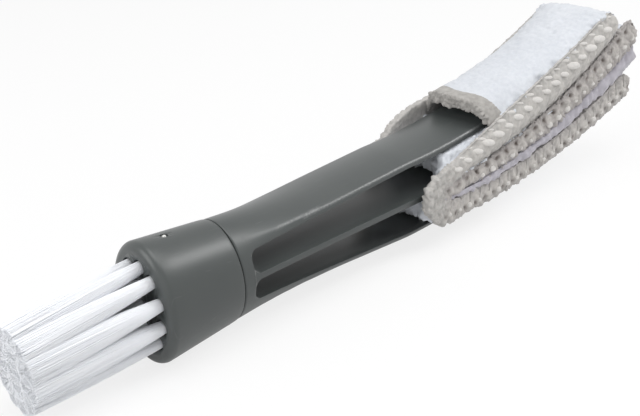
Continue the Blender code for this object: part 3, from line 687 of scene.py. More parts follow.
def strandSet(tree, take, count, segments, first, inner):
    # strands from this share of the length on, spread sunflower-wise over the tuft outside the inner share of its area
    b = bristles
    factor = addNode(tree, "GeometryNodeSplineParameter")
    index = addNode(tree, "GeometryNodeInputIndex")
    half = addNode(tree, "ShaderNodeMath", {0: index, 1: 0.5}, operation="ADD")
    share = addNode(tree, "ShaderNodeMath", {0: half, 1: count}, operation="DIVIDE")
    share = addNode(tree, "ShaderNodeMapRange", {"Value": share, "To Min": inner, "To Max": 1.0})
    ring = addNode(tree, "ShaderNodeMath", {0: share}, operation="SQRT")
    spin = {2: -b["jitter"], 3: b["jitter"], "Seed": take["Seed"]}
    jitter = addNode(tree, "FunctionNodeRandomValue", spin, 1, data_type="FLOAT")
    angle = addNode(tree, "ShaderNodeMath", {0: index, 1: goldenAngle, 2: jitter}, operation="MULTIPLY_ADD")
    cosine = addNode(tree, "ShaderNodeMath", {0: angle}, operation="COSINE")
    sine = addNode(tree, "ShaderNodeMath", {0: angle}, operation="SINE")
    circle = addNode(tree, "ShaderNodeCombineXYZ", {"Y": cosine, "Z": sine})
    spot = addNode(tree, "ShaderNodeVectorMath", {0: circle, "Scale": ring}, operation="SCALE")
    length = addNode(tree, "FunctionNodeRandomValue", {2: 0.0, 3: 1.0, "Seed": take["Seed"]}, 1, data_type="FLOAT")
    sides = {0: (0.0, -1.0, -1.0), 1: (0.0, 1.0, 1.0), "Seed": take["Seed"]}
    bow = addNode(tree, "FunctionNodeRandomValue", sides, data_type="FLOAT_VECTOR")
    points = addNode(tree, "GeometryNodePoints", {"Count": count})
    keep = addNode(tree, "GeometryNodeCaptureAttribute", {"Geometry": points}).node
    for socket, (kind, label, source) in enumerate((
            ("VECTOR", "Spot", spot), ("FLOAT", "Length", length), ("VECTOR", "Bow", bow)), start=1):
        keep.capture_items.new(kind, label)
        tree.links.new(source, keep.inputs[socket])
    strand = straightLine(tree, segments)
    laid = addNode(tree, "GeometryNodeInstanceOnPoints", {"Points": keep.outputs[0], "Instance": strand})
    real = addNode(tree, "GeometryNodeRealizeInstances", {"Geometry": laid})

    # each strand follows the tuft's flare, bows a little and ends at its own length
    shorter = addNode(tree, "ShaderNodeMath", {0: keep.outputs[2], 1: b["raggedPower"]}, operation="POWER")
    shorter = addNode(tree, "ShaderNodeMath", {0: shorter, 1: take["Ragged"]}, operation="MULTIPLY")
    shorter = addNode(tree, "ShaderNodeMath", {0: 1.0, 1: shorter}, operation="SUBTRACT")
    run = addNode(tree, "ShaderNodeMapRange", {"Value": factor, "To Min": first, "To Max": shorter})
    centre, reach = tuftShape(tree, run, take)
    radial = addNode(tree, "ShaderNodeVectorMath", {0: keep.outputs[1], "Scale": reach}, operation="SCALE")
    path = addNode(tree, "ShaderNodeVectorMath", {0: centre, 1: radial}, operation="ADD")
    sway = addNode(tree, "ShaderNodeMath", {0: run, 1: b["swayPower"]}, operation="POWER")
    sway = addNode(tree, "ShaderNodeMath", {0: sway, 1: take["Curl"]}, operation="MULTIPLY")
    swayed = addNode(tree, "ShaderNodeVectorMath", {0: keep.outputs[3], "Scale": sway}, operation="SCALE")
    path = addNode(tree, "ShaderNodeVectorMath", {0: path, 1: swayed}, operation="ADD")
    moved = addNode(tree, "GeometryNodeSetPosition", {"Geometry": real, "Position": path})
    flagged = addNode(tree, "ShaderNodeMapRange", {"Value": run, "To Min": 1.0, "To Max": b["flagged"]})
    return sweep(tree, moved, b["strandSides"], take["Strand radius"], flagged)


def packedBody(tree, take):
    # the inner strands lie so close that they are one body just under the outer ones
    b = bristles
    factor = addNode(tree, "GeometryNodeSplineParameter")
    run = addNode(tree, "ShaderNodeMath", {0: factor, 1: b["packedLength"]}, operation="MULTIPLY")
    centre, reach = tuftShape(tree, run, take)
    end = addNode(tree, "ShaderNodeMath", {0: factor, 1: b["endPower"]}, operation="POWER")
    shares = {"Value": end, "To Min": b["packedShare"], "To Max": b["packedShare"] * b["endShare"]}
    end = addNode(tree, "ShaderNodeMapRange", shares)
    width = addNode(tree, "ShaderNodeMath", {0: reach, 1: end}, operation="MULTIPLY")
    line = straightLine(tree, b["packedSteps"])
    core = addNode(tree, "GeometryNodeSetPosition", {"Geometry": line, "Position": centre})
    return sweep(tree, core, b["packedSides"], 1.0, width)


def bristleTree():
    b = bristles
    tree, take = newTree("tuftOfBristles", {
        "Strands": 100, "Ends": 100, "Root radius": 0.0012, "Root depth": 0.001, "Tip": (0.0, 0.0, 0.0),
        "Spread": 0.002, "Strand radius": 0.0001, "Ragged": 0.1, "Curl": 0.0005, "Flare": 2.0, "Seed": 1})
    both = addNode(tree, "GeometryNodeJoinGeometry")
    outer = strandSet(tree, take, take["Strands"], b["segments"], 0.0, b["innerShare"])
    ends = strandSet(tree, take, take["Ends"], 2, b["packedLength"] - b["endOverlap"], 0.0)
    for part in (packedBody(tree, take), outer, ends):
        tree.links.new(part, both.node.inputs[0])
    return closeTree(tree, both, nylon)


def tuftTip(y, z):
    b = bristles
    return Vector((-b["reach"], y * b["tipWidthShare"], z * b["tipHeightShare"] - b["droop"]))


def makeBristles():
    b = bristles
    tree = bristleTree()
    for number, (y, z) in enumerate(tuftPlaces(), start=1):
        tip = tuftTip(y, z)
        nearest = min((tuftTip(*other) - tip).length for other in tuftPlaces() if other != (y, z))
        tuft = grow(f"bristles_{number:02d}", tree, {
            "Strands": b["strands"], "Ends": b["ends"], "Root radius": b["rootRadius"] * mm,
            "Root depth": b["rootDepth"] * mm, "Tip": (tip - Vector((0.0, y, z))) * mm,
            "Spread": nearest / 2 * b["spreadShare"] * mm, "Strand radius": b["radius"] * mm, "Ragged": b["ragged"],
            "Curl": b["curl"] * mm, "Flare": b["flare"], "Seed": b["seed"] + number})
        tuft.data.transform(Matrix.Translation(place(0.0, y, z)))
        finishPiece(tuft, handleBody)
        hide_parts(f"tuft_{number:02d}")
        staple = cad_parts[f"anchor_{number:02d}"]
        staple.data.materials.clear()
        staple.data.materials.append(wire)


makeBristles()
print("bristles made")


# Cloth cover

cover = {
    "halfWidth": 9.5, "thickness": 2.2, "edge": 1.3, "clearance": 0.4, "seamGap": 0.6,
    "mouthSlack": 2.3, "tipSlack": 1.0, "bellySlack": 2.4, "upperSeamRoot": 3.6, "lowerSeamRoot": 4.6, "seamTip": 10.2,
    "mouth": 84.5, "mouthSweep": 2.8, "upperCrotch": 73.0, "upperSweep": 3.6, "lowerCrotch": 66.2,
    "sideTip": 137.2, "middleTip": 143.8, "binding": 3.8, "bindingLap": 0.5, "farSag": 1.7, "sagRamp": (0.3, 0.4),
    "acrossSteps": 52, "alongStep": 0.42, "longRun": 64, "shortRun": 44, "foldSteps": 16,
    "innerEvery": 4, "fineReach": 8,
    "snugPower": 8, "loosePower": 4, "bellyPower": 1.4, "seamPower": 1.4,
    # the pile's layers are size and height; a ramp is where it starts and how long it runs
    "nap": ((3.2, 0.24), (0.95, 0.26)), "shaggy": 1.6, "shaggyRamp": (0.86, 0.1), "napRun": 1.6,
    "clumps": ((1.9, 0.8), (0.9, 0.55)), "sideRamp": (-0.3, 1.2), "mouthRamp": (4, 4), "crotchRamp": (1.5, 5.0),
    "rollFrom": 0.78, "rollReach": 10.6, "rollTurn": (-90, 65), "rollSize": 1.02, "rollClear": 3, "rollEnd": -4.2,
    "rollSkip": 6, "rollGrowth": 3, "greyFrom": 0.9,
}


def pillow(acrossShare, power):
    return 1 - abs(acrossShare) ** power


def clothThickness(acrossShare):
    return mix(cover["edge"], cover["thickness"], pillow(acrossShare, cover["snugPower"]))


def fingerShare(along):
    return clampShare((along - cover["lowerCrotch"]) / (cover["sideTip"] - cover["lowerCrotch"]))


def seamPitch(finger, along):
    root = cover["upperSeamRoot"] if finger == 1 else cover["lowerSeamRoot"]
    return mix(cover["seamTip"], root, (1 - fingerShare(along)) ** cover["seamPower"])


def layerOffset(finger, face, along, acrossShare):
    # height of one layer: finger 1, 0 or -1 from the top, its upper (1) or lower (-1) side
    c = cover
    prong = stack["middle"] if finger == 0 else stack["outerEdge"]
    standOff = prong / 2 + c["clearance"] + c["thickness"] / 2
    power = c["snugPower"]
    if finger * face == 1:
        slack = c["mouthSlack"] if face == 1 else c["bellySlack"]
        share = clampShare((along - c["mouth"]) / (c["sideTip"] - c["mouth"]))
        standOff += stack["crown"] + mix(slack, c["tipSlack"], share)
        power = c["loosePower"] if face == 1 else c["bellyPower"]
    seam = finger * seamPitch(finger, along) + face * (c["edge"] + c["seamGap"]) / 2
    offset = mix(seam, finger * stack["pitch"] + face * standOff, pillow(acrossShare, power))
    if finger == 1:  # the top finger's far side sags towards its tip
        offset -= c["farSag"] * ramp(fingerShare(along), *c["sagRamp"]) * max(acrossShare, 0.0) ** 2
    return offset


def foldOver(fromLayer, toLayer, crest, forward, acrossShare):
    first, last = layerOffset(*fromLayer, crest, acrossShare), layerOffset(*toLayer, crest, acrossShare)
    radius = abs(first - last) / 2
    centre = crest - forward * radius
    points = []
    for share in steps(cover["foldSteps"])[1:-1]:
        angle = math.pi * share
        points.append((centre + forward * radius * math.sin(angle), mix(last, first, (1 + math.cos(angle)) / 2)))
    return points, centre


def mouthPlace(acrossShare):
    return cover["mouth"] + cover["mouthSweep"] * acrossShare ** 2


def stripPath(acrossShare):
    # the strip's middle line from the upper mouth round three fingers to the lower one
    c = cover
    half = clothThickness(acrossShare) / 2
    start = mouthPlace(acrossShare) + c["binding"] - c["bindingLap"]
    sideTip, middleTip = c["sideTip"] - half, c["middleTip"] - half
    upperCrest = c["upperCrotch"] - c["upperSweep"] * acrossShare ** 2 + half
    turns = (  # the layer after each fold, where the fold's crest lies and which way it points
        ((1, -1), sideTip, 1), ((0, 1), upperCrest, -1), ((0, -1), middleTip, 1),
        ((-1, 1), c["lowerCrotch"] + half, -1), ((-1, -1), sideTip, 1))
    path, layer, reached = [], (1, 1), start
    for number, (following, crest, forward) in enumerate(turns):
        fold, turn = foldOver(layer, following, crest, forward, acrossShare)
        path += layerRun(layer, reached, turn, c["longRun"] if number else c["shortRun"], acrossShare) + fold
        layer, reached = following, turn
    return path + layerRun(layer, reached, start, c["shortRun"], acrossShare)


def layerRun(layer, start, end, length, acrossShare):
    places = [mix(start, end, share) for share in steps(int(length / cover["alongStep"]))]
    return [(along, layerOffset(*layer, along, acrossShare)) for along in places]


def thicken(path, thickness, y, kept=None):
    # the outer face round a middle line, and the kept points of the inner one
    left, right = [], []
    for index, (along, offset) in enumerate(path):
        before, after = path[max(index - 1, 0)], path[min(index + 1, len(path) - 1)]
        run = Vector((after[0] - before[0], after[1] - before[1])).normalized()
        for points, side in ((left, 1), (right, -1)):
            point = bentPlace(along - side * run.y * thickness / 2, y, offset + side * run.x * thickness / 2)
            point.z = max(point.z, headLow.z)
            points.append(point)
    return left, [right[index] for index in kept] if kept else right


seams = {
    "inner": 8.9, "outer": 10.75, "root": 63.8, "rootLength": 8.0, "nose": 2.6, "parting": 0.8,
    "upperSplit": 80.5, "lowerSplit": 71.5, "edgeSteps": 60, "noseSteps": 14, "rootSteps": 32,
    "farLift": 2.6, "liftRamp": (69, 7), "farDrop": 4.5, "dropRamp": (79, 24), "farTop": 0.2, "farTopRamp": (96, 12),
    "bandCrest": 0.45, "bandRamp": (70, 9), "voxel": 0.26, "lumps": ((1.5, 0.55), (0.75, 0.34)),
    "rootLumps": 0.85, "lumpRamp": (68, 8), "stitchRamp": (67, 5), "pit": 0.55, "pitDepth": 0.45,
    "swellPower": 0.7, "swellLevel": 0.6, "terryWidth": 1.4, "terryFall": 3, "hidden": 0.3,
}
# each finger's upper (1) and lower (-1) edge: height at the root, height at the tip, how early it climbs
seamLines = {
    (1, 1): (3.4, 12.0, 3.0), (1, -1): (1.4, 5.0, 0.6), (0, 1): (1.4, 5.0, 0.6),
    (0, -1): (-0.4, -2.3, 6.0), (-1, 1): (-1.8, -6.9, 1.5), (-1, -1): (-7.0, -14.2, 0.75),
}
# each finger's band: how far its upper and lower edges draw in, how far it is set back, its stitches' pitch, the place
# of one stitch, how far a stitch leans across the band, its relief, where its needle hole lies, how deep that is, how
# lumpy the band is, how brown, how much terry it shows, its half height where its nubs are full, and which way it faces
bands = {
    1: {"top": 1.5, "low": 1.2, "back": 0.0, "pitch": 3.47, "first": 97.7, "lean": -3.0, "relief": 0.12, "hole": 0.16,
        "after": 1.9, "depth": 0.35, "lumps": 0.35, "brown": 0.05, "terry": 0.3, "full": 3.6, "faces": (0.85, 0.5)},
    0: {"top": 0.6, "low": 0.3, "back": 0.45, "pitch": 3.5, "first": 99.6, "lean": -2.2, "relief": 0.30, "hole": 0.76,
        "after": 2.0, "depth": 1.0, "lumps": 0.75, "brown": 0.40, "terry": 0.45, "full": 1.9, "faces": (1.0, 0.05)},
    -1: {"top": 0.5, "low": 0.7, "back": 0.15, "pitch": 3.2, "first": 109.0, "lean": -1.8, "relief": 0.22, "hole": 0.36,
         "after": -1.4, "depth": 0.8, "lumps": 0.55, "brown": 0.25, "terry": 0.45, "full": 2.2, "faces": (1.0, -0.05)},
}


def seamHeight(finger, edge, along, side):
    root, tip, power = seamLines[(finger, edge)]
    height = mix(tip, root, (1 - fingerShare(along)) ** power)
    if (finger, edge) == (1, -1):
        height += seams["parting"] / 2
    if (finger, edge) == (0, 1):
        height -= seams["parting"] / 2
    if side == 1 and (finger, edge) == (1, 1):  # the far seam starts high at the mouth and lies lower at the tip
        drop = seams["farDrop"] * ramp(along, *seams["dropRamp"])
        height += seams["farLift"] * ramp(along, *seams["liftRamp"]) - drop
    return height


def rollOut(path, outer, acrossShare):
    # the middle finger's underside bulges over the sides, in the gap between two bands of stitching
    c = cover
    near = clampShare((abs(acrossShare) - c["rollFrom"]) / (1 - c["rollFrom"]))
    if near == 0:
        return
    side = 1 if acrossShare > 0 else -1
    angle = math.radians(mix(*c["rollTurn"], near))
    crest = max(range(len(path)), key=lambda index: path[index][0])
    for index in range(crest + c["rollSkip"], len(path)):
        along, offset = path[index]
        if offset < c["rollEnd"] or along < c["lowerCrotch"] + c["rollClear"]:
            break
        high, low = seamHeight(0, -1, along, side), seamHeight(-1, 1, along, side)
        radius = (high - low) / 2 * c["rollSize"]
        height = (high + low) / 2 + radius * math.sin(angle)
        y = c["rollReach"] - radius + radius * math.cos(angle)
        rolled = bentPlace(along, side * y, height)
        grown = smooth(near * c["rollGrowth"]) * smooth((c["middleTip"] - along) / c["rollClear"])
        outer[index] = outer[index].lerp(rolled, grown)


def makeCloth():
    c = cover
    rings = []
    middle = stripPath(0.0)
    # the inner face is coarse where it lies hidden against the prongs and fine where it turns in the crotches
    kept = [index for index, (along, offset) in enumerate(middle)
            if index % c["innerEvery"] == 0 or index == len(middle) - 1 or along < c["mouth"] + c["fineReach"]]
    for part in steps(c["acrossSteps"]):
        share = math.sin(math.pi / 2 * (2 * part - 1))
        path = stripPath(share)
        outer, inner = thicken(path, clothThickness(share), c["halfWidth"] * share, kept)
        rollOut(path, outer, share)
        rings.append(outer + inner[::-1])
    outerCount, ringCount = len(outer), len(rings[0])
    length = sum(math.hypot(b[0] - a[0], b[1] - a[1]) for a, b in zip(middle, middle[1:])) + 2 * c["binding"]
    piece = newObject("terryStrip", loft(rings, "terryStrip"))

    def nap(index, spot):
        # loops stand on the outer face only, shaggy along the sides, and none inside the bound mouths
        number = index % ringCount
        if number >= outerCount:
            return 0.0
        shaggy = 1 + c["shaggy"] * ramp(abs(spot.y) / mm / c["halfWidth"], *c["shaggyRamp"])
        return shaggy * smooth(min(number, outerCount - number) * c["alongStep"] / c["napRun"])

    def clumps(index, spot):
        # the pile stands up in clumps where the strip's inner face turns in the crotches
        along, offset = unbend(spot)
        if index % ringCount < outerCount:
            return 0.0
        sweptBack = c["upperSweep"] * (spot.y / mm / c["halfWidth"]) ** 2
        crest = c["upperCrotch"] - sweptBack if offset > 0 else c["lowerCrotch"]
        beside = ramp(abs(spot.y) / mm - stack["outerHalfWidth"], *c["sideRamp"])
        beside *= 1 - ramp(along - c["mouth"], *c["mouthRamp"])
        return max(1 - ramp(along - crest, *c["crotchRamp"]), beside)

    roughen(piece.data, c["nap"], 3, nap)
    roughen(piece.data, c["clumps"], 5, clumps, lumpy=True)
    # painted shade: points near the sides and below the middle prong are marked to turn lilac grey
    edge = c["halfWidth"] * c["greyFrom"] * mm
    greys = [float(abs(vert.co.y) > edge and unbend(vert.co)[1] < 0) for vert in piece.data.vertices]
    paint(piece.data, "paintedShade", "FLOAT", greys)
    finishPiece(piece, coverBody, terry)
    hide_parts("cover_cloth")
    print("cloth", len(piece.data.polygons), "faces, strip length", round(length, 1), "mm")
    return piece, length * mm


cloth, stripLength = makeCloth()


# Overlocked edges

def seamEdge(finger, edge, start, end, side):
    places = [mix(start, end, share) for share in steps(seams["edgeSteps"])]
    return [(along, seamHeight(finger, edge, along, side)) for along in places]


def seamTooth(finger, topStart, lowStart, tip, side):
    turn = tip - seams["nose"]
    top, low = seamHeight(finger, 1, turn, side), seamHeight(finger, -1, turn, side)
    nose = []
    for share in steps(seams["noseSteps"])[1:-1]:
        angle = math.pi * share
        nose.append((turn + seams["nose"] * math.sin(angle), mix(low, top, (1 + math.cos(angle)) / 2)))
    return seamEdge(finger, 1, topStart, turn, side) + nose + seamEdge(finger, -1, turn, lowStart, side)


def seamOutline(side):
    s = seams
    rootEnd = s["root"] + s["rootLength"]
    outline = seamTooth(1, rootEnd, s["upperSplit"], cover["sideTip"], side)
    outline += seamTooth(0, s["upperSplit"], s["lowerSplit"], cover["middleTip"], side)
    outline += seamTooth(-1, s["lowerSplit"], rootEnd, cover["sideTip"], side)
    top, bottom = outline[0][1], outline[-1][1]
    for share in steps(s["rootSteps"])[1:-1]:
        angle = math.pi * share
        height = bottom if math.cos(angle) > 0 else -top
        outline.append((rootEnd - s["rootLength"] * math.sin(angle), height * math.cos(angle)))
    return outline


def bandAt(along, offset, side):
    # which finger's band a place belongs to, and how high it lies in it, 0 to 1
    for finger in (1, 0, -1):
        low, high = seamHeight(finger, -1, along, side), seamHeight(finger, 1, along, side)
        if finger == -1 or offset > (low + seamHeight(finger - 1, 1, along, side)) / 2:
            return finger, clampShare((offset - low) / (high - low))


def bandDepth(along, offset, side):
    # how far the band's face draws in at one place
    s = seams
    finger, share = bandAt(along, offset, side)
    band = bands[finger]
    top, crest = band["top"], s["bandCrest"]
    if side == 1 and finger == 1:
        top = mix(s["farTop"], top, ramp(along, *s["farTopRamp"]))
    if share > crest:
        drawn = top * ((share - crest) / (1 - crest)) ** 2
    else:
        drawn = band["low"] * ((crest - share) / crest) ** 2
    return ramp(along, *s["bandRamp"]) * (drawn + band["back"])


def stitchAt(along, offset, side):
    # height of the stitches' relief, how deep in a needle hole, how much terry shows and how brown, at one place
    s = seams
    finger, share = bandAt(along, offset, side)
    band = bands[finger]
    fade = ramp(along, *s["stitchRamp"])
    turn = (along - band["first"] - band["lean"] * (share - 0.5)) / band["pitch"]
    swell = abs(math.cos(math.pi * turn)) ** s["swellPower"]
    away = (along - band["first"] - band["after"]) % band["pitch"]
    away = min(away, band["pitch"] - away)
    tall = seamHeight(finger, 1, along, side) - seamHeight(finger, -1, along, side)
    # the needle hole is sunk, and its depth also sets the painted shade laid in it
    hole = math.exp(-(away / s["pit"]) ** 2 - ((share - band["hole"]) * tall / s["pit"]) ** 2) * band["depth"]
    shows = swell * smooth(s["terryWidth"] - abs(share - 0.5) * s["terryFall"]) * band["terry"]
    height = band["relief"] * (swell - s["swellLevel"]) - s["pitDepth"] * hole
    return fade * height, fade * hole, fade * shows, fade * band["brown"]


def woolly(piece, voxel):
    # an even fine skin with soft corners
    addModifier(piece, "REMESH", mode="VOXEL", voxel_size=voxel * mm, use_smooth_shade=True)
    addModifier(piece, "SMOOTH", factor=0.6, iterations=5)
    bakeModifiers(piece)


def makeSideSeam(name, side, node, seed):
    s = seams
    outline = seamOutline(side)
    bm = bmesh.new()
    inner = [bm.verts.new(bentPlace(along, side * s["inner"], offset)) for along, offset in outline]
    outer = [bm.verts.new(bentPlace(along, side * s["outer"], offset)) for along, offset in outline]
    bridge(bm, inner, outer)
    bmesh.ops.triangulate(bm, faces=[bm.faces.new(inner[::-1]), bm.faces.new(outer)])
    bmesh.ops.recalc_face_normals(bm, faces=bm.faces)
    piece = newObject(name, meshOf(bm, name))
    woolly(piece, s["voxel"])
    middle = (s["inner"] + s["outer"]) / 2
    for vert in piece.data.vertices:
        reach = (abs(vert.co.y) / mm - middle) / (s["outer"] - middle)
        if reach > 0:
            vert.co.y -= side * bandDepth(*unbend(vert.co), side) * reach * mm

    def lumps(index, spot):
        # lumpy all round the root turn, then as each band is
        along, offset = unbend(spot)
        band = bands[bandAt(along, offset, side)[0]]
        return mix(s["rootLumps"], band["lumps"], ramp(along, *s["lumpRamp"]))

    roughen(piece.data, s["lumps"], seed, lumps, lumpy=True)
    tints, moved = [], []
    for vert in piece.data.vertices:
        seen = abs(vert.co.y) / mm > s["inner"] + s["hidden"]
        height, hole, shows, brown = stitchAt(*unbend(vert.co), side) if seen else (0.0,) * 4
        moved.append(vert.co + vert.normal * height * mm)
        tints += [hole, shows, brown, 1.0]
    moveTo(piece.data, moved)
    paint(piece.data, "stitch", "FLOAT_COLOR", tints)
    finishPiece(piece, coverBody, thread)
    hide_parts(node)
    print(name, len(piece.data.polygons), "faces")
    return piece


def bandLine(finger, side, share, start, end):
    # a line along a band's face at a share of its height, as a mesh of edges with each point's half width
    points, widths = [], []
    for along in (mix(start, end, part) for part in steps(90)):
        low, high = seamHeight(finger, -1, along, side), seamHeight(finger, 1, along, side)
        offset = mix(low, high, share)
        y = seams["outer"] - bandDepth(along, offset, side)
        points.append(bentPlace(along, side * y, offset))
        widths.append((high - low) / 2 * mm)
    mesh = bpy.data.meshes.new("bandLine")
    mesh.from_pydata(points, [(index, index + 1) for index in range(len(points) - 1)], [])
    paint(mesh, "reach", "FLOAT", widths)
    return mesh


stitches = {
    "ribRadius": 0.12, "ribLean": -0.7, "ribRise": 0.12, "ribSides": 6, "ribPlace": 0.52, "ribsBefore": 12,
    "ribsAfter": 8, "ribSink": -2.2, "ribHeight": 2.4, "ribReach": 0.9, "ribVary": (0.75, 1.3), "ribSeed": 20,
    "nubSlant": 0.55, "nubVary": (0.72, 1.18), "nubLeast": 0.3, "nubSeed": 40, "tipGap": 2.0,
}
# terry pushed out between the threads: finger, height share, first place, how many stitches before it, half sizes
nubRows = [
    (1, 0.64, 0.0, 7, (1.80, 0.78, 0.46)), (1, 0.90, 2.2, 7, (1.35, 0.40, 0.30)),
    (0, 0.30, 0.0, 5, (0.95, 0.65, 0.40)), (-1, 0.42, 0.0, 12, (0.80, 0.52, 0.36)),
]


def framedPoints(tree, take):
    # points along the seed line, turned so X runs along it and Z points out of the cloth
    line = addNode(tree, "GeometryNodeMeshToCurve", {"Mesh": take["Geometry"]})
    even = addNode(tree, "GeometryNodeResampleCurve", {"Curve": line, "Length": take["Pitch"]}, mode="LENGTH")
    tangent = addNode(tree, "GeometryNodeInputTangent")
    turn = addNode(tree, "FunctionNodeAlignRotationToVector", {"Vector": tangent}, axis="X")
    upright = {"Rotation": turn, "Vector": take["Outward"]}
    turn = addNode(tree, "FunctionNodeAlignRotationToVector", upright, axis="Z", pivot_axis="X")
    keep = addNode(tree, "GeometryNodeCaptureAttribute", {"Geometry": even}).node
    keep.capture_items.new("ROTATION", "Turn")
    tree.links.new(turn, keep.inputs[1])
    return keep.outputs


def ribTree():
    tree, take = newTree("overlockRibs", {
        "Pitch": 0.0019, "Outward": (0.0, -1.0, 0.0), "Radius": 0.0003, "Lean": 0.0008, "Rise": 0.0003, "Seed": 1})
    points = framedPoints(tree, take)
    back, sunk, high = [
        addNode(tree, "ShaderNodeMath", {0: take[label], 1: times}, operation="MULTIPLY")
        for label, times in (("Lean", -1.0), ("Rise", stitches["ribSink"]), ("Rise", stitches["ribHeight"]))]
    first = addNode(tree, "ShaderNodeCombineXYZ", {"X": back, "Y": 1.0, "Z": sunk})
    last = addNode(tree, "ShaderNodeCombineXYZ", {"X": take["Lean"], "Y": -1.0, "Z": sunk})
    middle = addNode(tree, "ShaderNodeCombineXYZ", {"Z": high})
    path = {"Resolution": 9, "Start": first, "Middle": middle, "End": last}
    arc = addNode(tree, "GeometryNodeCurveQuadraticBezier", path)
    reach = addNode(tree, "GeometryNodeInputNamedAttribute", {"Name": "reach"}, data_type="FLOAT")
    wide = addNode(tree, "ShaderNodeMath", {0: reach, 1: stitches["ribReach"]}, operation="MULTIPLY")
    low, high = stitches["ribVary"]
    vary = addNode(tree, "FunctionNodeRandomValue", {2: low, 3: high, "Seed": take["Seed"]}, 1, data_type="FLOAT")
    size = addNode(tree, "ShaderNodeCombineXYZ", {"X": vary, "Y": wide, "Z": vary})
    laid = {"Points": points[0], "Instance": arc, "Rotation": points[1], "Scale": size}
    laid = addNode(tree, "GeometryNodeInstanceOnPoints", laid)
    real = addNode(tree, "GeometryNodeRealizeInstances", {"Geometry": laid})
    return closeTree(tree, sweep(tree, real, stitches["ribSides"], take["Radius"]), thread)


def nubTree():
    tree, take = newTree("terryNubs", {
        "Pitch": 0.0023, "Outward": (0.0, -1.0, 0.0), "Size": (0.001, 0.0005, 0.0004), "Slant": -0.6,
        "Full band": 0.003, "Seed": 1})
    points = framedPoints(tree, take)
    blob = addNode(tree, "GeometryNodeMeshIcoSphere", {"Radius": 1.0, "Subdivisions": 3})
    low, high = stitches["nubVary"]
    vary = addNode(tree, "FunctionNodeRandomValue", {2: low, 3: high, "Seed": take["Seed"]}, 1, data_type="FLOAT")
    reach = addNode(tree, "GeometryNodeInputNamedAttribute", {"Name": "reach"}, data_type="FLOAT")
    fit = {"Value": reach, "From Max": take["Full band"], "To Min": stitches["nubLeast"]}
    fit = addNode(tree, "ShaderNodeMapRange", fit)
    vary = addNode(tree, "ShaderNodeMath", {0: vary, 1: fit}, operation="MULTIPLY")
    size = addNode(tree, "ShaderNodeVectorMath", {0: take["Size"], "Scale": vary}, operation="SCALE")
    slant = addNode(tree, "ShaderNodeCombineXYZ", {"Z": take["Slant"]})
    slant = addNode(tree, "FunctionNodeEulerToRotation", {0: slant})
    turn = addNode(tree, "FunctionNodeRotateRotation", {0: points[1], 1: slant}, rotation_space="LOCAL")
    laid = {"Points": points[0], "Instance": blob, "Rotation": turn, "Scale": size}
    return closeTree(tree, addNode(tree, "GeometryNodeInstanceOnPoints", laid), loops)


def joined(name, parts):
    bm = bmesh.new()
    for part in parts:
        bm.from_mesh(part.data)
        bpy.data.objects.remove(part, do_unlink=True)
    return newObject(name, meshOf(bm, name))


def outwardOf(finger, side):
    y, z = bands[finger]["faces"]
    return 0.0, side * y, z


def makeStitches(side, label, ribs, nubs):
    s = stitches
    low = bands[-1]
    values = {
        "Pitch": low["pitch"] * mm, "Outward": outwardOf(-1, side), "Radius": s["ribRadius"] * mm,
        "Lean": s["ribLean"] * mm, "Rise": s["ribRise"] * mm, "Seed": s["ribSeed"]}
    start, end = low["first"] - s["ribsBefore"] * low["pitch"], low["first"] + s["ribsAfter"] * low["pitch"]
    # thin pale threads arch over the lower band
    threads = [grow("ribs", ribs, values, bandLine(-1, side, s["ribPlace"], start, end))]
    terryRows = []
    for number, (finger, share, shift, before, size) in enumerate(nubRows):
        band = bands[finger]
        start = band["first"] + shift - before * band["pitch"]
        tip = (cover["middleTip"] if finger == 0 else cover["sideTip"]) - s["tipGap"]
        count = int((tip - start) / band["pitch"])
        values = {
            "Pitch": band["pitch"] * mm, "Outward": outwardOf(finger, side), "Size": [part * mm for part in size],
            "Slant": side * s["nubSlant"], "Full band": band["full"] * mm, "Seed": s["nubSeed"] + number}
        line = bandLine(finger, side, share, start, start + count * band["pitch"])
        terryRows.append(grow("nubs", nubs, values, line))
    first = finishPiece(joined(label + "Ribs", threads), coverBody, thread)
    second = finishPiece(joined(label + "Nubs", terryRows), coverBody, loops)
    print(label, "stitches", len(first.data.polygons), len(second.data.polygons), "faces")
    return [first, second]


binding = {
    "acrossSteps": 60, "alongSteps": 8, "sideGrowth": 1.4, "extra": 0.5, "lumps": ((1.0, 0.45), (0.55, 0.32)),
    "smoothest": 0.12, "edgeRun": 1.0,
}


def makeBinding(name, finger, node, seed):
    b, c = binding, cover
    rings = []
    for share in (2 * part - 1 for part in steps(b["acrossSteps"])):
        reach = c["binding"] + b["sideGrowth"] * share ** 2
        stations = [mouthPlace(share) + reach * part for part in steps(b["alongSteps"])]
        path = [(along, layerOffset(finger, finger, along, share)) for along in stations]
        left, right = thicken(path, clothThickness(share) + b["extra"], c["halfWidth"] * share)
        rings.append(left + right[::-1])
    piece = newObject(name, loft(rings, name))
    woolly(piece, seams["voxel"])

    def ragged(index, spot):
        # the mouth's own edge is shaggy, the rest of the band is smooth
        along, offset = unbend(spot)
        return mix(1.0, b["smoothest"], ramp(along, mouthPlace(spot.y / mm / c["halfWidth"]), b["edgeRun"]))

    roughen(piece.data, b["lumps"], seed, ragged, lumpy=True)
    finishPiece(piece, coverBody, boundThread)
    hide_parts(node)
    return piece


trims = [makeSideSeam("leftOverlock", 1, "left_edging", 11), makeSideSeam("rightOverlock", -1, "right_edging", 12)]
trims.append(makeBinding("topMouthOverlock", 1, "top_mouth_binding", 13))
trims.append(makeBinding("bottomMouthOverlock", -1, "bottom_mouth_binding", 14))
ribs, nubs = ribTree(), nubTree()
trims += makeStitches(1, "left", ribs, nubs) + makeStitches(-1, "right", ribs, nubs)
print("cover made")


# Floor, light and camera

